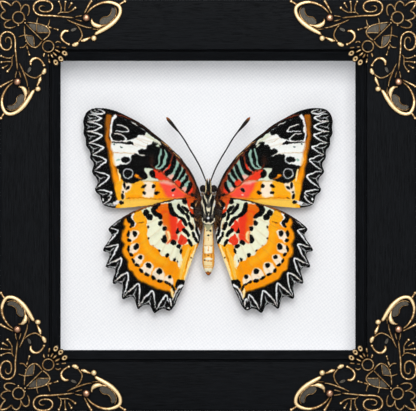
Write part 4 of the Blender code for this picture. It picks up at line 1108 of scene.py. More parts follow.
forewing["root"] = (2.0, 4.0)
forewing["seed"] = {"right": 3, "left": 4}
forewing["veins"] = [
    [(4.4, 6.0), (12.0, 18.4), (22.0, 27.0), (33.0, 32.6), (42.8, 34.0)],
    [(3.8, 5.0), (10.0, 14.6), (16.9, 22.0), (24.0, 25.6), (34.0, 29.4), (44.6, 30.4)],
    [(16.9, 22.0), (26.0, 24.4), (36.0, 26.3), (44.5, 26.6)],
    [(18.4, 20.0), (28.0, 22.6), (36.0, 22.9), (43.8, 22.7)],
    [(19.0, 17.0), (27.0, 18.8), (35.0, 19.0), (42.2, 18.3)],
    [(19.2, 14.4), (27.0, 14.6), (35.0, 13.9), (41.4, 12.8)],
    [(17.4, 12.4), (24.4, 9.9), (33.0, 8.0), (40.2, 6.1)],
    [(12.6, 8.6), (18.0, 8.9), (24.0, 8.4), (31.0, 5.4), (37.6, 0.9)],
    [(5.0, 3.4), (12.0, 8.0), (17.4, 12.4), (19.2, 14.4), (19.0, 17.0), (18.4, 20.0), (16.9, 22.0)],
    [(6.0, 2.8), (18.0, 2.4), (30.0, 1.8), (35.0, 0.0)],
]
hindwing["root"] = (2.0, 0.0)
hindwing["seed"] = {"right": 6, "left": 7}
hindwing["veins"] = [
    [(5.0, 1.6), (14.0, 0.2), (24.0, -3.2), (35.4, -8.6)],
    [(4.0, 0.6), (10.0, 0.0), (17.3, -4.3), (24.0, -7.4), (31.0, -11.6), (37.3, -16.0)],
    [(17.3, -4.3), (16.4, -7.4), (22.6, -12.6), (30.0, -17.6), (36.4, -22.0)],
    [(16.4, -7.4), (15.4, -9.6), (20.4, -15.8), (27.6, -22.0), (34.0, -27.7)],
    [(15.4, -9.6), (14.0, -11.0), (17.8, -18.4), (24.0, -25.8), (30.6, -33.2)],
    [(3.6, -2.0), (7.0, -7.6), (10.4, -10.0), (14.0, -11.0)],
    [(10.4, -10.0), (13.4, -17.8), (19.6, -27.8), (25.3, -36.8)],
    [(7.6, -9.0), (10.6, -18.6), (14.6, -28.8), (19.2, -38.2)],
    [(5.0, -8.0), (8.8, -22.0), (11.6, -31.0), (14.0, -37.3)],
]


ornament = {
    "shortLeg": 0.945,      # the leg on a side rail is this share of the long one
    "swell": 1.32,          # the wires are this much fuller than their bare lines
    "wireRise": 0.6,        # how high a wire's ridge stands for each mm of its width
    "leastRise": 0.75,      # mm, the lowest a ridge stands over the face of the frame
    "sides": 12,
    "step": 0.3,            # mm between sections along a wire
    "plateRise": 0.35,
    "ridgeRise": 0.95,      # mm, where the brass is brightest, as wear and painted highlight
    "inset": 0.03,          # mm kept from the frame's outer edges
    "clearance": 0.3,       # mm between the work and the rails' face
    "bulbHollow": 0.55,
}

# One leg, in mm from the frame's outer corner: along the rail, then inwards.
# A wire is its points, then its widths from start to end.
legWires = [
    # the two petals beside the corner one
    ([(4.6, 2.4), (4.9, 1.4), (6.1, 0.65), (7.3, 1.5), (7.9, 3.3), (7.6, 4.4)], [0.5, 0.6, 0.6, 0.6,
     0.5]),
    ([(8.0, 3.6), (8.6, 2.4), (9.5, 1.85), (10.5, 2.3), (10.8, 3.6), (10.6, 5.0), (10.1, 6.0)], [0.5,
     0.6, 0.65, 0.6, 0.4]),
    # spiral and its long stem
    ([(16.5, 2.55), (15.6, 2.25), (14.6, 2.6), (14.4, 3.5), (15.2, 4.2), (16.6, 4.4), (18.1, 4.2),
     (19.1, 3.2), (19.0, 1.8), (17.8, 0.75), (15.7, 0.35), (13.6, 0.8), (12.4, 2.2), (12.5, 3.9),
     (13.6, 5.2), (15.5, 5.75), (18.5, 5.8), (20.9, 6.0), (23.9, 6.3), (26.9, 6.6)], [0.45, 0.6, 0.75,
     0.8, 0.75, 0.7, 0.7, 0.6, 0.6]),
    ([(27.1, 6.3), (28.4, 6.0), (29.9, 5.8)], [0.3, 0.5, 0.45]),
    ([(27.2, 7.1), (28.5, 7.5), (29.9, 7.8)], [0.25, 0.5, 0.45]),
    # little fan of four stalks
    ([(20.9, 5.5), (21.6, 4.8), (22.4, 4.6), (23.6, 4.6), (24.8, 4.6), (25.4, 4.3)], [0.35, 0.5, 0.5,
     0.5, 0.4]),
    ([(21.9, 4.9), (22.3, 3.4), (22.0, 1.9), (21.5, 0.9)], [0.5, 0.55, 0.5, 0.6]),
    ([(23.6, 4.6), (23.6, 2.9), (23.8, 0.9)], [0.5, 0.5, 0.6]),
    ([(24.8, 3.3), (25.3, 2.5), (25.9, 1.5)], [0.35, 0.5, 0.6]),
    ([(25.0, 4.5), (26.2, 3.9), (27.1, 3.1)], [0.45, 0.55, 0.7]),
    # stick beside the pin
    ([(30.5, 5.2), (31.4, 3.4), (32.3, 1.8), (33.0, 0.6)], [0.45, 0.6, 0.75, 1.0]),
    # leaf loop, its rod and its foot
    ([(31.3, 5.2), (33.2, 3.1), (36.0, 1.5), (38.9, 0.95), (41.3, 1.4), (43.1, 2.5), (43.5, 4.2),
     (42.8, 6.2), (41.2, 8.1), (39.3, 9.6), (37.2, 10.9), (35.2, 12.0), (34.2, 12.8)], [0.5, 0.75, 0.95,
     1.15, 1.25, 1.3, 1.5, 1.4, 1.1]),
    ([(43.0, 2.0), (44.0, 1.3), (45.0, 0.7)], [0.8, 0.7, 0.8]),
    ([(41.4, 2.5), (42.1, 4.2), (41.6, 6.2), (40.0, 8.0), (38.4, 9.0)], [0.25, 0.45, 0.5, 0.45, 0.3]),
    ([(33.2, 6.7), (33.3, 7.9), (34.0, 8.9), (35.4, 9.5), (37.0, 9.4), (38.9, 9.0)], [0.4, 1.1, 1.5, 1.3,
     0.8, 0.5]),
    ([(36.0, 8.0), (36.6, 7.0), (37.5, 6.3), (38.7, 6.2), (39.6, 5.6), (40.2, 4.6), (40.2, 3.2)], [0.25,
     0.35, 0.4, 0.35, 0.2]),
    # thin leaf stem
    ([(24.2, 7.2), (26.6, 8.3), (29.6, 9.4), (31.6, 10.0), (33.3, 10.2)], [0.3, 0.6, 0.65, 0.6, 0.4]),
    ([(33.2, 10.6), (35.0, 10.7), (36.8, 10.5)], [0.25, 0.4, 0.3]),
    # scroll, ring and the links to the leaf's foot
    ([(25.1, 11.4), (23.7, 11.3), (22.6, 12.2), (22.3, 13.6), (23.0, 14.8), (24.0, 15.6), (24.9, 16.1)],
     [0.75, 1.05, 1.1, 0.95, 0.8, 0.65, 0.8]),
    ([(27.3, 8.7), (28.5, 9.9), (29.4, 11.3), (29.8, 13.0), (29.1, 14.4), (28.2, 15.4)], [0.3, 0.5, 0.6,
     0.65, 0.6]),
    ([(26.0, 16.5), (27.3, 16.2), (28.6, 15.4)], [0.9, 1.45, 0.9]),
    ([(29.2, 14.9), (30.4, 14.7), (31.8, 14.1), (33.0, 13.6)], [0.7, 1.2, 1.0, 0.7]),
    # beaded wire
    ([(17.4, 9.8), (18.4, 10.1), (19.2, 10.3)], [0.5, 0.75, 0.45]),
    ([(19.3, 10.4), (20.3, 10.6), (21.0, 10.9)], [0.35, 0.55, 0.5]),
]
legBalls = [
    ((21.45, 0.75), 0.55), ((23.85, 0.8), 0.55), ((25.95, 1.35), 0.6), ((27.3, 3.0), 0.65), ((33.1, 0.6),
     0.6),
    ((45.1, 0.65), 0.7), ((34.0, 13.9), 1.15), ((21.0, 10.85), 0.5), ((25.0, 16.1), 0.65), ((14.0, 0.9),
     0.3),
]
legPlates = [
    [(36.0, 8.1), (36.7, 7.1), (37.5, 6.5), (38.7, 6.4), (39.7, 5.8), (40.3, 4.7), (40.4, 3.0),
     (41.6, 3.4), (42.0, 4.6), (41.4, 6.4), (39.8, 8.2), (38.0, 9.2), (36.6, 9.0)],
    [(25.7, 11.0), (26.4, 10.4), (27.7, 10.2), (27.4, 11.0), (26.2, 11.5)],
]
# What stands on the diagonal and is made once.
cornerWires = [
    ([(2.4, 4.3), (1.0, 2.6), (0.55, 0.75), (2.5, 1.0), (4.5, 2.4)], [0.55, 0.65, 0.75, 0.65, 0.55]),
    # veined leaf
    ([(9.6, 8.8), (11.6, 10.8), (13.6, 12.8), (15.5, 14.7)], [0.45, 0.55, 0.5, 0.45]),
    ([(10.0, 8.2), (12.0, 8.4), (14.0, 8.75), (16.0, 9.3), (17.4, 10.2), (18.2, 11.7), (17.6, 13.1),
     (16.4, 14.2), (15.5, 14.8)], [0.45, 0.55, 0.55, 0.6, 0.6, 0.55]),
    ([(9.0, 9.4), (9.1, 11.0), (9.2, 12.4), (9.6, 14.2), (10.4, 15.8), (11.6, 16.9), (13.1, 17.2),
     (14.4, 16.3), (15.5, 14.8)], [0.45, 0.55, 0.55, 0.6, 0.6, 0.55]),
    ([(14.0, 6.4), (13.6, 7.6), (13.5, 8.7), (13.4, 10.4), (13.6, 12.0)], [0.35, 0.5, 0.45, 0.35]),
    ([(13.6, 12.0), (15.8, 11.9), (18.1, 12.0)], [0.35, 0.5, 0.4]),
    ([(18.2, 7.1), (17.9, 8.4), (17.4, 9.7)], [0.35, 0.5, 0.6]),
    ([(6.8, 13.5), (8.0, 13.1), (9.2, 12.8), (10.8, 13.0), (12.2, 13.1)], [0.35, 0.5, 0.5, 0.35]),
    ([(12.2, 13.1), (12.5, 15.0), (12.6, 17.1)], [0.35, 0.45, 0.4]),
    ([(7.2, 17.3), (8.8, 17.1), (10.0, 15.8)], [0.5, 0.55, 0.45]),
    # rays of the fan
    ([(20.1, 15.6), (20.9, 15.1), (21.6, 15.2), (22.2, 15.7)], [0.4, 0.6, 0.55, 0.4]),
    ([(20.3, 17.0), (21.6, 17.05)], [0.45, 0.6]),
    ([(22.3, 17.2), (24.1, 17.4)], [0.55, 0.6]),
    ([(19.9, 18.0), (21.0, 18.5), (21.9, 19.0)], [0.5, 0.75, 0.5]),
    ([(19.2, 18.9), (20.0, 19.7), (20.8, 20.3)], [0.5, 0.75, 0.5]),
    ([(18.5, 19.4), (19.0, 20.4), (19.5, 21.0)], [0.5, 0.7, 0.5]),
    ([(17.7, 19.5), (17.7, 20.7)], [0.45, 0.6]),
    ([(17.8, 21.2), (18.1, 22.9)], [0.6, 0.7]),
    ([(16.4, 19.1), (16.0, 20.0), (16.0, 20.8)], [0.4, 0.85, 0.45]),
]
cornerBalls = [
    ((6.9, 9.2), 0.5), ((9.3, 7.2), 0.4), ((9.3, 8.4), 0.45), ((7.9, 3.4), 0.4), ((16.9, 9.7), 0.55),
    ((9.6, 15.0), 0.35),
]
cornerPlates = [
    [(13.7, 9.0), (15.6, 9.4), (17.2, 10.2), (17.9, 11.8), (15.8, 11.8), (13.8, 11.9)],
    [(9.4, 13.0), (10.8, 13.2), (12.1, 13.3), (12.4, 15.2), (12.4, 16.9), (10.6, 15.4)],
    [(10.6, 9.0), (12.0, 8.7), (13.2, 8.9), (13.1, 10.2), (12.9, 11.4)],
]
rings = [((6.95, 6.5), 2.1, 0.8), ((17.6, 16.85), 2.0, 0.72)]
bulbs = [((23.5, 19.3), 32), ((22.1, 21.3), 48), ((20.3, 22.6), 66)]


def ridgeLayer(bm, face):
    # how far up the relief each point stands, from 0 at the foot to 1 on the ridge
    layer = bm.verts.layers.float.get("ridge") or bm.verts.layers.float.new("ridge")
    for vert in bm.verts:
        vert[layer] = face(vert.co)
    return bm


def reliefWire(points, widths):
    line = curveThrough(points, False, ornament["step"])
    spine = [(u, 0, -v) for u, v in line]
    share = numpy.linspace(0, 1, 30)
    wide = numpy.interp(share, numpy.linspace(0, 1, len(widths)), widths) * ornament["swell"]
    wide[0] *= 0.6
    wide[-1] *= 0.6
    tall = numpy.maximum(wide * ornament["wireRise"], ornament["leastRise"]) * 2
    tall[0] *= 0.7
    tall[-1] *= 0.7
    return tube(spine, wide, tall, ornament["sides"])


def reliefRing(centre, radius, width):
    made = bmesh.new()
    tall = max(width * ornament["wireRise"], ornament["leastRise"])
    middle = Vector((centre[0], 0, -centre[1]))
    section = Matrix.Translation(middle + Vector((radius, 0, 0))) @ Matrix.Diagonal((width / 2, tall, 1, 1))
    bmesh.ops.create_circle(made, segments=ornament["sides"], radius=1, matrix=section)
    bmesh.ops.spin(made, geom=made.edges[:], cent=middle, axis=(0, 1, 0), angle=2 * math.pi,
                   steps=48, use_merge=True)
    return made


def reliefPlate(loop, rise):
    made = bmesh.new()
    line = curveThrough(loop, True, 0.8)
    corners = [made.verts.new((u, 0, -v)) for u, v in line]
    face = made.faces.new(corners)
    grown = bmesh.ops.extrude_face_region(made, geom=[face])["geom"]
    top = [part for part in grown if isinstance(part, bmesh.types.BMVert)]
    bmesh.ops.translate(made, vec=(0, -rise, 0), verts=top)
    bmesh.ops.triangulate(made, faces=made.faces[:])
    return made


def halfOrnament():
    # the leg along the rail, in mm from the outer corner: x inwards, z down
    bm = bmesh.new()
    for points, widths in legWires:
        addTo(bm, reliefWire(points, widths))
    for (u, v), radius in legBalls:
        addTo(bm, ball((u, 0, -v), (radius, max(radius, 0.85), radius)))
    return bm


def cornerOrnament(name, side, level):
    # the same leg twice, once turned over the diagonal, with the corner's own work between
    metal = halfOrnament()
    turned = Matrix(((0, 0, -1, 0), (0, 1, 0, 0), (-ornament["shortLeg"], 0, 0, 0), (0, 0, 0, 1)))
    addTo(metal, halfOrnament(), turned)
    for points, widths in cornerWires:
        addTo(metal, reliefWire(points, widths))
    for (u, v), radius in cornerBalls:
        addTo(metal, ball((u, 0, -v), (radius, max(radius, 0.8), radius)))
    for centre, radius, width in rings:
        addTo(metal, reliefRing(centre, radius, width))
    for (u, v), lean in bulbs:
        addTo(metal, makeBulb(u, v, lean))
    ridgeLayer(metal, lambda spot: min(1.0, max(0.0, -spot.y / ornament["ridgeRise"])))
    plates = bmesh.new()
    for loop in legPlates:
        addTo(plates, reliefPlate(loop, ornament["plateRise"]))
        addTo(plates, reliefPlate(loop, ornament["plateRise"]), turned)
    for loop in cornerPlates:
        addTo(plates, reliefPlate(loop, ornament["plateRise"] * 0.8))
    ridgeLayer(plates, lambda spot: 0.3 if spot.y < -0.1 else 0.1)
    for face in plates.faces:
        face.material_index = 1
    addTo(metal, plates)
    # the foot of the work is flat, and none of it stands past the rails' edges
    inset = ornament["inset"]
    for vert in metal.verts:
        vert.co = (max(vert.co.x, inset), min(vert.co.y, 0.0), min(vert.co.z, -inset))
    corner = Vector((side * frameWidth / 2, faceFront - ornament["clearance"] * mm, midHeight * (1 + level)))
    corner = Matrix.Translation(corner) @ Matrix.Diagonal((-side * mm, mm, level * mm, 1))
    bmesh.ops.transform(metal, matrix=corner, verts=metal.verts)
    return finishPiece(f"{name}_filigree", metal, [brass, pewter], [name], 50)


def makeBulb(u, v, lean):
    # a seed at the end of a ray, hollow at its middle
    made = bmesh.new()
    turn = Matrix.Translation((u, 0, -v)) @ Matrix.Rotation(math.radians(lean), 4, "Y")
    place = turn @ Matrix.Diagonal((1.3, 1.2, 0.95, 1))
    bmesh.ops.create_uvsphere(made, u_segments=20, v_segments=14, radius=1, matrix=place)
    for vert in made.verts:
        off = Vector((vert.co.x - u, 0, vert.co.z + v)).length
        if vert.co.y < 0 and off < ornament["bulbHollow"]:
            vert.co.y += 1 - (off / ornament["bulbHollow"]) ** 2
    return made


bodyShape = {
    "axis": 0.15,            # mm, how far the body stands right of the middle
    "abdomen": [(-6.6, 1.6), (-8.2, 1.62), (-10.0, 1.7), (-12.4, 1.85), (-14.6, 2.0), (-16.6, 2.12),
                (-18.4, 2.2), (-20.0, 2.16), (-21.8, 1.94), (-23.3, 1.42), (-24.4, 0.85), (-25.1, 0.3)],
    "segments": [-9.4, -11.9, -14.4, -17.2, -19.7, -22.3, -23.7],
    "depthShare": 0.92,
    "forward": 6.6,
    "thorax": [(-6.9, 1.5), (-6.2, 2.1), (-5.0, 2.45), (-3.0, 2.5), (-1.0, 2.5), (1.0, 2.45),
               (2.8, 2.15), (4.2, 1.6), (5.0, 1.0)],
}
bodyPlane = boardFront - bodyShape["forward"] * mm
middle = Matrix.Translation((0, 0, midHeight))
enlarged = middle @ Matrix.Diagonal((wingShape["size"], 1, wingShape["size"], 1)) @ middle.inverted()


def lathe(profile, centre, steps, swell, share):
    # a profile of (height, radius) in mm spun about an upright axis
    bm = bmesh.new()
    line = curveThrough(profile)
    chain = []
    for z, radius in line:
        chain.append(bm.verts.new((max(radius + swell(z), 0.0), 0, z)))
    edges = [bm.edges.new(pair) for pair in zip(chain, chain[1:])]
    bmesh.ops.spin(bm, geom=chain + edges, cent=(0, 0, 0), axis=(0, 0, 1), angle=2 * math.pi,
                   steps=steps, use_merge=True)
    bmesh.ops.remove_doubles(bm, verts=bm.verts, dist=0.0005)
    fillHoles(bm)
    place = Matrix.Translation(centre) @ Matrix.Diagonal((mm, mm * share, mm, 1))
    bmesh.ops.transform(bm, matrix=place, verts=bm.verts)
    return bm


def paint(bm, tone):
    # writes a colour at every point from a function of its x and z, in mm
    layer = bm.verts.layers.float_color.get("tone") or bm.verts.layers.float_color.new("tone")
    for vert in bm.verts:
        x = vert.co.x / mm - bodyShape["axis"]
        z = (vert.co.z - midHeight) / mm
        vert[layer] = rgba(*tone(x, z))
    return bm


def blendTone(first, second, share):
    share = min(1.0, max(0.0, share))
    return [a * (1 - share) + b * share for a, b in zip(first, second)]


bodyMarks = {
    "abdomen": [
        ("patch", "chalk", 0.5, [
            (-1.1, -14.8), (1.4, -14.8), (1.3, -16.2), (1.2, -17.1), (-0.9, -17.1), (-1.0, -16.0)]),
        ("patch", "olive", 0.5, [(-1.6, -6.4), (1.9, -6.4), (1.0, -8.0), (0.15, -9.2), (-0.7, -8.0)]),
        *strokes("honey",
            ([(-1.3, -8.6), (-1.5, -11.0), (-1.75, -14.4), (-1.9, -17.4), (-1.95, -19.8), (-1.6, -22.6)],
            [0.3, 0.5, 0.8, 0.9, 0.8, 0.4]),
            ([(1.7, -8.6), (1.9, -11.0), (2.0, -14.4), (2.1, -17.4), (2.15, -19.8), (1.8, -22.6)],
            [0.3, 0.5, 0.9, 1.0, 1.2, 0.5])),
        *strokes("chestnut",
            ([(-1.45, -7.6), (-1.65, -11.0), (-2.0, -15.0), (-2.2, -18.0), (-2.15, -20.4)],
            [0.3, 0.25, 0.2, 0.2, 0.1]),
            ([(1.8, -7.6), (1.95, -11.0), (2.25, -15.0), (2.5, -18.0), (2.4, -20.4)],
            [0.3, 0.25, 0.2, 0.2, 0.1])),
        ("stroke", "tan", [(-1.6, -14.4), (0.1, -14.3), (1.8, -14.4)], [0.3, 0.1, 0.3]),
        *dots("tan", (-0.8, -14.5, 0.24, 0.2, 0), (1.15, -14.6, 0.28, 0.2, 0)),
        ("stroke", "honey", [(0.1, -14.8), (0.1, -15.4), (0.08, -16.3)], [0.2, 0.3, 0.3]),
        ("dot", "bronze", (0.06, -16.0), (0.22, 0.22), 0),
        ("patch", "honey", 0.4, [
            (-2.1, -17.2), (0.1, -17.3), (2.2, -17.2), (2.2, -18.6), (1.2, -18.9), (0.1, -18.6),
            (-1.0, -18.9), (-2.1, -18.8)]),
        *strokes("bronze",
            ([(-1.8, -17.2), (0.1, -17.35), (1.9, -17.2)], [0.1, 0.16, 0.1]),
            ([(-1.05, -17.5), (-1.0, -18.5)], [0.34, 0.2]),
            ([(1.2, -17.4), (1.1, -18.7)], [0.4, 0.36])),
        ("dot", "umber", (0.09, -17.9), (0.26, 0.24), 0),
        ("patch", "chalk", 0.3, [(-0.9, -18.9), (0.1, -18.7), (1.4, -18.9), (1.4, -19.4), (-0.9, -19.5)]),
        ("stroke", "honey", [(-1.9, -19.6), (0.1, -19.85), (1.9, -19.7)], [0.3, 0.34, 0.4]),
        ("dot", "umber", (-1.25, -19.6), (0.3, 0.26), 40),
        ("dot", "chestnut", (0.12, -19.85), (0.28, 0.22), 0),
        ("dot", "bronze", (1.2, -19.9), (0.3, 0.22), 0),
        *strokes("honey",
            ([(-1.8, -21.4), (-0.8, -21.7), (0.1, -21.5), (1.0, -21.8), (1.8, -21.4)],
            [0.2, 0.24, 0.2, 0.2, 0.2]),
            ([(-1.7, -22.3), (0.1, -22.4), (1.8, -22.3)], [0.3, 0.15, 0.3])),
        ("dot", "honey", (-0.65, -22.3), (0.3, 0.2), 0),
        ("patch", "chalk", 0.3, [
            (-1.4, -22.6), (0.1, -22.5), (1.5, -22.6), (1.3, -23.5), (0.6, -23.6), (0.1, -23.4),
            (-0.6, -23.6), (-1.2, -23.4)]),
        ("patch", "chestnut", 0.3, [
            (-1.3, -23.9), (-0.5, -24.0), (-0.05, -23.5), (0.5, -24.0), (1.2, -23.9), (0.9, -25.4),
            (-1.0, -25.4)]),
        ("dot", "bronze", (0.0, -24.4), (0.5, 0.3), 0),
        *dots("umber",
            (-0.05, -23.8, 0.26, 0.2, 0), (0.0, -25.1, 0.5, 0.2, 0), (-0.38, -9.0, 0.22, 0.28, 0)),
        *dots("black", (0.87, -9.05, 0.24, 0.3, -25), (0.12, -10.7, 0.28, 0.22, 0)),
        ("dot", "tan", (1.0, -10.4), (0.3, 0.18), -40),
        ("stroke", "tan", [(0.11, -11.7), (0.11, -12.6)], [0.2, 0.16]),
    ],
    "thorax": [
        ("patch", "smoke", 0.5, [
            (-0.4, 2.4), (0.7, 2.4), (0.9, 0.4), (0.8, -0.7), (-0.4, -0.7), (-0.5, 0.6)]),
        *patches("smoke", 0.3,
            [(-1.9, -2.4), (-1.2, -3.2), (-0.5, -4.3), (-1.5, -4.6)],
            [(2.2, -2.4), (1.5, -3.2), (0.8, -4.3), (1.8, -4.6)]),
        ("patch", "chalk", 0.22, [
            (-0.64, -0.5), (0.2, -0.9), (0.97, -0.5), (0.8, -1.8), (0.5, -2.8), (0.2, -3.7), (-0.1, -2.8),
            (-0.4, -1.8)]),
        *strokes("chalk",
            ([(-1.5, 3.9), (-1.05, 2.8), (-0.6, 1.9), (-0.35, 0.6)], [0.4, 0.55, 0.45, 0.1]),
            ([(1.3, 4.0), (0.85, 2.8), (0.5, 1.9), (0.4, 0.8)], [0.4, 0.5, 0.4, 0.1]),
            ([(-2.15, 2.6), (-1.98, 0.8), (-1.45, -0.9), (-1.2, -2.4), (-0.9, -3.4)],
            [0.4, 0.6, 0.62, 0.5, 0.2]),
            ([(2.5, 2.2), (2.2, 0.5), (1.85, -0.8), (1.65, -2.4), (1.3, -3.4)],
            [0.4, 0.65, 0.62, 0.45, 0.2])),
        ("dot", "white", (2.15, 0.2), (0.3, 0.6), -10),
        ("dot", "black", (0.17, -2.5), (0.24, 0.28), 0),
        ("dot", "white", (0.12, -4.45), (0.5, 0.45), 0),
        ("stroke", "chalk", [
            (-2.05, -4.6), (-1.6, -5.6), (-0.8, -6.15), (0.14, -6.35), (1.0, -6.15), (1.9, -5.6),
            (2.35, -4.7)], [0.5, 0.8, 0.95, 1.0, 0.95, 0.8, 0.5]),
        *dots("black",
            (-1.4, -5.15, 0.3, 0.36, 30), (-0.54, -5.75, 0.3, 0.34, 0), (0.9, -5.75, 0.3, 0.34, 0),
            (1.6, -5.1, 0.3, 0.36, -30), (0.12, -7.1, 0.3, 0.2, 0)),
        *dots("tan", (-1.7, 4.1, 0.5, 0.4, 0), (1.9, 4.2, 0.5, 0.4, 0)),
    ],
    "palps": [
        *strokes("wheat",
            ([(-0.95, 3.4), (-0.9, 4.6), (-0.76, 6.4), (-0.74, 8.6)], [0.1, 0.3, 0.3, 0.14]),
            ([(1.25, 3.4), (1.15, 4.6), (1.02, 6.4), (0.98, 8.6)], [0.1, 0.28, 0.3, 0.14])),
        *strokes("tan", ([(-0.3, 9.8), (-0.42, 8.8)], [0.6, 0.2]), ([(0.7, 9.7), (0.76, 8.8)], [0.6, 0.2])),
        ("stroke", "chestnut", [(-0.2, 5.0), (0.1, 4.0), (0.4, 5.0)], [0.15, 0.3, 0.15]),
    ],
}


def marked(bm, ground, marks):
    places = numpy.array([(vert.co.x, vert.co.z - midHeight) for vert in bm.verts]) / mm
    wearTones(bm, paintedTones(wander(places, 9, 0.03), ground, marks))
    return bm


def makeBody():
    centre = Vector((bodyShape["axis"] * mm, bodyPlane, midHeight))
    ends = [z for z, _ in bodyShape["abdomen"]]

    def swell(z):
        # each ring is plump in its middle and pinched where it meets the next
        if z > bodyShape["segments"][0] or z < ends[-1] + 0.4:
            return 0
        pinch = min(abs(z - place) for place in bodyShape["segments"])
        return 0.05 - 0.13 * math.exp(-((pinch / 0.22) ** 2))

    body = lathe(bodyShape["abdomen"], centre, 56, swell, bodyShape["depthShare"])
    for vert in body.verts:
        spot = vert.co / mm
        vert.co.x += noise.noise(spot * 1.1) * 0.05 * mm
        vert.co.y += noise.noise(spot * 1.1 + Vector((7, 0, 0))) * 0.08 * mm
    marked(body, "wheat", bodyMarks["abdomen"])
    thorax = lathe(bodyShape["thorax"], centre, 90, lambda z: 0, 1.0)
    for vert in thorax.verts:
        rel = (vert.co - centre) / mm
        groove = 0.16 * math.sin(abs(rel.x) * 7.5 + rel.z * 0.9) * (rel.y < 0)
        flank = 0.4 if abs(rel.x) > 2.1 else 1
        vert.co.y -= (groove + 0.12 * noise.noise(rel * 1.7)) * mm * flank
    marked(thorax, "black", bodyMarks["thorax"])
    addTo(body, thorax)
    addTo(body, makeLegs(centre))
    addTo(body, makeHead(centre))
    bmesh.ops.transform(body, matrix=enlarged, verts=body.verts)
    finishes = [bodyFinish, eyeFinish]
    return finishPiece("butterfly_body_segmented", body, finishes, ["butterfly_body"], 60)


def bodyLine(centre, side, route):
    # a smooth line through points given in mm: out to a side, forward and up
    line = [centre + Vector((side * x, -forward, z)) * mm for x, forward, z in route]
    return curveThrough(line, False, 0.15 * mm)


def makeLegs(centre):
    # three pairs of legs folded against the thorax, striped along their length
    legs = bmesh.new()
    routes = [
        [(1.9, 2.3, 3.4), (1.6, 2.8, 1.6), (1.15, 3.05, -0.6), (0.75, 3.05, -2.8), (0.45, 2.8, -4.6)],
        [(2.3, 1.6, 1.8), (2.2, 2.2, -0.4), (1.8, 2.6, -2.4), (1.3, 2.75, -4.2), (1.0, 2.6, -5.2)],
        [(0.9, 2.2, 4.4), (0.75, 2.8, 2.8), (0.45, 3.1, 1.0), (0.25, 3.1, -0.8)],
    ]
    for route in routes:
        for side in (-1, 1):
            wide = numpy.array([0.5, 0.46, 0.36, 0.3, 0.2]) * mm
            leg = tube(bodyLine(centre, side, route), wide, wide, 12)
            addTo(legs, marked(leg, "black", bodyMarks["thorax"]))
    return legs


def makeHead(centre):
    head = bmesh.new()
    skull = ball((centre.x, centre.y, centre.z + 5.7 * mm), (1.45 * mm, 1.9 * mm, 1.75 * mm), 28)
    addTo(head, marked(skull, "soot", bodyMarks["palps"]))
    for side in (-1, 1):
        route = [(0.5, 1.6, 3.8), (0.56, 2.2, 5.2), (0.56, 2.2, 6.8), (0.52, 1.6, 8.3), (0.46, 1.0, 9.7)]
        wide = numpy.array([1.2, 1.3, 1.2, 0.95, 0.2]) * mm
        tall = numpy.array([0.9, 0.9, 0.8, 0.6, 0.16]) * mm
        palp = tube(bodyLine(centre, side, route), wide, tall, 20)
        addTo(head, marked(palp, "black", bodyMarks["palps"]))
        eyeCentre = centre + Vector((side * 1.92, -0.4, 6.05)) * mm
        eye = ball(eyeCentre, (1.2 * mm, 1.3 * mm, 1.34 * mm), 36)
        for vert in eye.verts:
            spot = (vert.co - eyeCentre) / mm
            vert.co += spot.normalized() * 0.012 * mm * math.sin(spot.z * 34) * math.sin(spot.x * 34)
        paint(eye, lambda x, z: blendTone((34, 16, 14), (10, 7, 7), abs(x) - 1.4))
        for face in eye.faces:
            face.material_index = 1
        addTo(head, eye)
    # coiled tongue between the palps
    coil = []
    for k in range(30):
        turn = k * 0.5
        tight = 1 - k / 40
        forward = 1.9 + 0.35 * math.cos(turn) * tight
        coil.append(centre + Vector((0, -forward, 5.2 + 0.55 * math.sin(turn) * tight)) * mm)
    wide = [0.3 * mm, 0.2 * mm]
    addTo(head, paint(tube(coil, wide, wide, 8), lambda x, z: (58, 40, 24)))
    return head


def hairs(name, sprigs, width):
    # many small tapered hairs, each a bent cone, joined in one mesh
    one = bmesh.new()
    lift = Matrix.Translation((0, 0, 0.5))
    bmesh.ops.create_cone(one, cap_ends=True, segments=3, radius1=1, radius2=0.12, depth=1, matrix=lift)
    upright = [edge for edge in one.edges if abs(edge.verts[0].co.z - edge.verts[1].co.z) > 0.5]
    bmesh.ops.subdivide_edges(one, edges=upright, cuts=2)
    bmesh.ops.triangulate(one, faces=one.faces[:])
    one.verts.index_update()
    shape = numpy.array([vert.co[:] for vert in one.verts])
    faces = numpy.array([[vert.index for vert in face.verts] for face in one.faces])
    one.free()
    spots, tones = [], []
    for root, heading, length, bend, tone in sprigs:
        along = Vector(heading).normalized()
        across = along.orthogonal().normalized()
        third = along.cross(across)
        body = shape[:, :1] * numpy.array(across) * width + shape[:, 1:2] * numpy.array(third) * width
        curl = numpy.array(bend) * (shape[:, 2:3] ** 2) * length
        spots.append(numpy.array(root) + body + shape[:, 2:3] * numpy.array(along) * length + curl)
        tones.append(numpy.tile([*linear(*tone), 1.0], (len(shape), 1)))
    points = numpy.vstack(spots)
    loops = (faces[None] + numpy.arange(len(spots))[:, None, None] * len(shape)).reshape(-1, 3)
    mesh = bpy.data.meshes.new(name)
    mesh.from_pydata(points.tolist(), [], loops.tolist())
    layer = mesh.attributes.new("tone", "FLOAT_COLOR", "POINT")
    layer.data.foreach_set("color", numpy.vstack(tones).ravel())
    mesh.transform(enlarged)
    return finishMesh(name, mesh, [hairFinish])


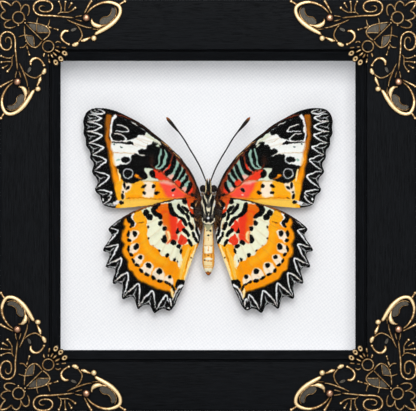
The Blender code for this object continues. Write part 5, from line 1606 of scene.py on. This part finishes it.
def makeHair():
    rng = numpy.random.default_rng(11)
    sprigs = []
    tufts = [
        # centre x, z, spread x, z, heading out, z, count, length, colours
        (2.7, -2.0, 0.8, 1.2, 1.0, -0.3, 260, 2.3, [(62, 58, 54), (22, 19, 17), (124, 118, 108), (90, 50,
         26)]),
        (2.6, -4.2, 0.6, 1.2, 1.0, -1.1, 150, 2.3, [(84, 56, 32), (30, 22, 18), (150, 108, 56)]),
        (2.5, 2.2, 0.5, 1.2, 0.9, 0.15, 120, 1.8, [(96, 48, 24), (52, 30, 20), (176, 96, 40)]),
        (2.2, -6.6, 0.3, 1.0, 0.5, -1.3, 150, 2.4, [(122, 76, 30), (70, 42, 20), (160, 108, 50)]),
        (1.9, 4.1, 0.3, 0.3, 0.8, 0.5, 110, 1.0, [(206, 168, 104), (150, 140, 128)]),
    ]
    for side in (-1, 1):
        for x, z, wideX, wideZ, out, up, count, length, colours in tufts:
            for _ in range(count):
                rootX = bodyShape["axis"] + side * (x + rng.normal(0, wideX * 0.5))
                rootZ = z + rng.normal(0, wideZ * 0.6)
                root = at(rootX, rootZ, rng.uniform(-1.0, 1.2), bodyPlane)
                outwards = side * (out + rng.normal(0, 0.3))
                heading = (outwards, -0.1 + rng.normal(0, 0.25), up + rng.normal(0, 0.35))
                bend = (0, rng.uniform(0.0, 0.25), rng.uniform(-0.25, 0.1))
                tone = numpy.array(colours[rng.integers(len(colours))]) * rng.uniform(0.7, 1.15)
                reach = length * rng.uniform(0.5, 1.1) * mm
                sprigs.append((root, heading, reach, bend, numpy.clip(tone, 0, 255)))
    # short nap on the thorax and the head
    for _ in range(420):
        turn = rng.uniform(-1.5, 1.5)
        z = rng.uniform(-6.6, 6.6)
        radius = 2.4 if z < 3.5 else 1.4
        x = bodyShape["axis"] + math.sin(turn) * radius
        root = at(x, z, math.cos(turn) * radius, bodyPlane)
        marks = bodyMarks["thorax" if z < 4 else "palps"]
        tone = paintedTones(numpy.array([(x, z)]), "soot", marks)[0] * rng.uniform(0.75, 1.1)
        heading = (math.sin(turn) * 0.5, -math.cos(turn) * 0.35, -1.0 + rng.normal(0, 0.3))
        reach = rng.uniform(0.5, 0.9) * mm
        sprigs.append((root, heading, reach, (0, 0, -0.2), numpy.clip(tone, 0, 255)))
    return hairs("butterfly_body_hair", sprigs, 0.03 * mm)


def makeAntenna(side):
    # ringed shaft that thickens into a club
    sign = 1 if side == "right" else -1
    route = [(0.86, 8.8, 6.7), (1.1, 9.6, 7.3), (2.55, 13.2, 7.6), (4.5, 16.9, 7.6), (6.4, 20.0, 7.6),
             (8.2, 23.1, 7.6), (9.9, 25.6, 7.6), (11.3, 27.3, 7.6), (12.9, 29.2, 7.6), (14.9, 31.65, 7.6)]
    aside = bodyShape["axis"] if sign > 0 else 0
    line = [at(sign * x + aside, z, forward) for x, z, forward in route]
    line = curveThrough(line, False, 0.2 * mm)
    share = numpy.linspace(0, 1, len(line))
    places = [0, 0.12, 0.74, 0.8, 0.9, 0.97, 1.0]
    wide = numpy.interp(share, places, [0.4, 0.52, 0.54, 0.84, 1.32, 1.24, 0.4])
    wide = wide * (1 + 0.06 * numpy.sin(numpy.arange(len(line)) * 1.6)) * mm
    shaft = tube(line, wide, wide, 14)
    tip = line[-1][2]

    def antennaTone(x, z):
        tone = blendTone((8, 7, 6), (34, 27, 22), 0.5 + 0.5 * math.sin(z * 9))
        near = (tip - midHeight) / mm - z
        return blendTone(tone, (168, 92, 34), 1.1 - near / 1.5)

    paint(shaft, antennaTone)
    bmesh.ops.transform(shaft, matrix=enlarged, verts=shaft.verts)
    name = f"antenna_ringed_{side}"
    return finishPiece(name, shaft, [antennaFinish], [f"antenna_{side}"], 60)


rail = {
    "face": 17.9,           # mm from the outer edge to the groove
    "groove": 0.8,
    "grooveDepth": 2.8,
    "lipEdge": 21.9,
    "lipFront": 1.6,
    "lipDrop": 2.3,         # how far the lip slopes back to its edge
    "lipBack": 5.0,
    "rebate": 17.0,
    "outerRound": 0.9,
    "innerRound": 0.28,
    "mitreGap": 0.005,
}


def makeRail(side, finish):
    # the moulding's section drawn along the rail, rounded, then cut to its mitres
    level = side in ("top", "bottom")
    length = (frameWidth / mm) if level else 2 * midHeight / mm
    depth = (backPlane - faceFront) / mm
    face, lipEdge, lipBack = rail["face"], rail["lipEdge"], rail["lipBack"]
    section = [(0, 0), (face, 0), (face, rail["grooveDepth"]), (face + rail["groove"], rail["grooveDepth"]),
               (face + rail["groove"], rail["lipFront"]), (lipEdge, rail["lipFront"] + rail["lipDrop"]),
               (lipEdge, lipBack), (rail["rebate"], lipBack), (rail["rebate"], depth), (0, depth)]
    bm = bmesh.new()
    end = bm.faces.new([bm.verts.new((-length / 2, down, -inwards)) for inwards, down in section])
    grown = bmesh.ops.extrude_face_region(bm, geom=[end])["geom"]
    far = [part for part in grown if isinstance(part, bmesh.types.BMVert)]
    bmesh.ops.translate(bm, vec=(length, 0, 0), verts=far)
    lengthwise = [edge for edge in bm.edges if abs(edge.verts[0].co.x - edge.verts[1].co.x) > 1]
    outer = [edge for edge in lengthwise if edge.verts[0].co.z > -0.1 and edge.verts[0].co.y < 0.1]
    inner = [edge for edge in lengthwise if edge not in outer and edge.verts[0].co.y < lipBack - 0.1]
    for edges, size, steps in ((outer, rail["outerRound"], 8), (inner, rail["innerRound"], 4)):
        kept = [edge for edge in edges if edge.is_valid]
        bmesh.ops.bevel(bm, geom=kept, affect="EDGES", offset=size, segments=steps, profile=0.5, material=-1)
    for end in (-1, 1):
        cut = Vector((end, 0, -1)).normalized()
        spot = Vector((end * length / 2, 0, 0)) - cut * rail["mitreGap"]
        whole = bm.verts[:] + bm.edges[:] + bm.faces[:]
        bmesh.ops.bisect_plane(bm, geom=whole, dist=1e-5, plane_co=spot, plane_no=cut, clear_outer=True)
        fillHoles(bm)
    turn = {"top": 0, "right": 90, "bottom": 180, "left": 270}[side]
    reach = midHeight if level else frameWidth / 2
    place = Matrix.Translation((0, faceFront, midHeight)) @ Matrix.Rotation(math.radians(turn), 4, "Y")
    place = place @ Matrix.Translation((0, 0, reach)) @ Matrix.Scale(mm, 4)
    bmesh.ops.transform(bm, matrix=place, verts=bm.verts)
    name = f"frame_rail_{side}"
    return finishPiece(f"{name}_moulded", bm, [finish], [name], 35)


pinShape = {"radius": 1.3, "height": 1.35, "steps": 32}


def makePin(number):
    # a domed nail head, with the shank going on into the wood
    name = f"ornament_pin_{number}"
    low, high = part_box(name)
    centre = Vector(((low.x + high.x) / 2, low.y, (low.z + high.z) / 2))
    radius = pinShape["radius"] * mm
    profile = numpy.array([(0.0, 0.0), (0.35, 0.03), (0.7, 0.16), (0.98, 0.42), (1.0, 0.66), (0.9, 0.82),
                           (0.5, 0.86), (0.46, 0.95)])
    bm = bmesh.new()
    line = curveThrough(profile * (radius, pinShape["height"] * mm), False, 0.08 * mm)
    chain = [bm.verts.new((x, down, 0)) for x, down in line]
    chain.append(bm.verts.new((line[-1][0], high.y - low.y, 0)))
    edges = [bm.edges.new(pair) for pair in zip(chain, chain[1:])]
    bmesh.ops.spin(bm, geom=chain + edges, cent=(0, 0, 0), axis=(0, 1, 0), angle=2 * math.pi,
                   steps=pinShape["steps"], use_merge=True)
    bmesh.ops.remove_doubles(bm, verts=bm.verts, dist=1e-6)
    fillHoles(bm)
    dents = noise.noise(Vector((number, 0.5, 0.2)))
    for vert in bm.verts:
        vert.co.y += noise.noise(vert.co / mm * 0.9 + Vector((number * 3, 0, 0))) * 0.06 * mm * (1 + dents)
        vert.co.y = max(vert.co.y, 0.0)
    layer = bm.verts.layers.float.new("ridge")
    for vert in bm.verts:
        vert[layer] = max(0.0, 1.0 - vert.co.y / (pinShape["height"] * 0.75 * mm))
    bmesh.ops.translate(bm, vec=centre, verts=bm.verts)
    return finishPiece(f"ornament_pin_domed_{number}", bm, [copper], [name], 60)


def giveFinish(prefix, material):
    for name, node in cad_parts.items():
        if name.startswith(prefix):
            node.data.materials.clear()
            node.data.materials.append(material)


print("finishes")
brass = antiqueBrass()
pewter = darkPewter()
copper = copperPlate()
forewing["finish"] = wingScales("forewing_scales_painted")
hindwing["finish"] = wingScales("hindwing_scales_painted")
bodyFinish = bodyCoat("body_scales", 0.7, 5.0)
hairFinish = bodyCoat("body_hair_strands", 0.75, 9.0)
antennaFinish = bodyCoat("antenna_chitin", 0.4, 7.0)
eyeFinish = bodyCoat("eye_facets", 0.45, 12.0)
paper = paperBoard("mount_paper", rgba(248, 248, 248), rgba(232, 233, 236))
card = paperBoard("spacer_card", rgba(240, 240, 240), rgba(222, 223, 226), 0.2)
zinc = zincPlate()
along = blackWood("black_wood_level", (0.05, 0.6, 1.0))
upright = blackWood("black_wood_upright", (1.0, 0.6, 0.05))
for name, finish in (("mount_board", paper), ("spacer_", card), ("backing_board", fibreBoard()),
                     ("specimen_pad", foamPad()), ("glass_pane", clearGlass()),
                     ("retaining_tab_", zinc), ("sawtooth_hanger", zinc), ("hanger_nail_", zinc)):
    giveFinish(name, finish)

print("frame")
for side, finish in (("top", along), ("bottom", along), ("left", upright), ("right", upright)):
    makeRail(side, finish)

print("wings")
for side in ("right", "left"):
    for kind, wing in (("forewing", forewing), ("hindwing", hindwing)):
        makeWing(kind, side, wing, sum(corner.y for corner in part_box(f"{kind}_right")) / 2)

print("body")
makeBody()
makeHair()
for side in ("left", "right"):
    makeAntenna(side)

print("ornaments")
for level, row in ((1, "top"), (-1, "bottom")):
    for side, column in ((-1, "left"), (1, "right")):
        cornerOrnament(f"corner_ornament_{row}_{column}", side, level)
for number in range(1, 9):
    makePin(number)


def softLight(name, place, size, power):
    lamp = bpy.data.lights.new(name, "AREA")
    lamp.shape = "RECTANGLE"
    lamp.size, lamp.size_y = size
    lamp.energy = power
    stand = bpy.data.objects.new(name, lamp)
    stand.location = place
    aim = Vector((0, faceFront, midHeight)) - Vector(place)
    stand.rotation_euler = aim.to_track_quat("-Z", "Y").to_euler()
    bpy.context.scene.collection.objects.link(stand)


def studio():
    floorMesh = bmesh.new()
    bmesh.ops.create_grid(floorMesh, x_segments=1, y_segments=1, size=3)
    mesh = bpy.data.meshes.new("studio_floor")
    floorMesh.to_mesh(mesh)
    floorMesh.free()
    pale = Finish("pale_floor", roughness=0.9)
    drift = pale.noise(pale.place(), 0.004)
    mesh.materials.append(pale.done(colour=pale.mix(drift, rgba(226, 226, 226), rgba(236, 236, 236))))
    floor = bpy.data.objects.new("studio_floor", mesh)
    bpy.context.scene.collection.objects.link(floor)
    world = bpy.data.worlds.new("studio_air")
    world.use_nodes = True
    world.node_tree.nodes["Background"].inputs["Color"].default_value = (0.86, 0.88, 0.92, 1)
    world.node_tree.nodes["Background"].inputs["Strength"].default_value = 0.47
    bpy.context.scene.world = world
    softLight("key_light", (0.04, -1.0, midHeight + 0.36), (0.6, 0.5), 8.4)
    softLight("top_light", (0.05, -0.45, midHeight + 0.6), (0.5, 0.25), 0.8)
    softLight("fill_light", (-0.4, -1.0, midHeight - 0.1), (0.7, 0.7), 1.8)
    bpy.context.scene.view_settings.view_transform = "Standard"
    camera = bpy.data.cameras.new("camera")
    camera.lens = 400
    camera.sensor_width = 36
    camera.clip_start = 0.01
    seen = 0.9965 * frameWidth  # the frame runs just past the picture's sides
    standing = bpy.data.objects.new("camera", camera)
    standing.location = (0, faceFront - seen * camera.lens / camera.sensor_width, midHeight)
    standing.rotation_euler = (math.pi / 2, 0, 0)
    bpy.context.scene.collection.objects.link(standing)
    bpy.context.scene.camera = standing


print("light and camera")
studio()
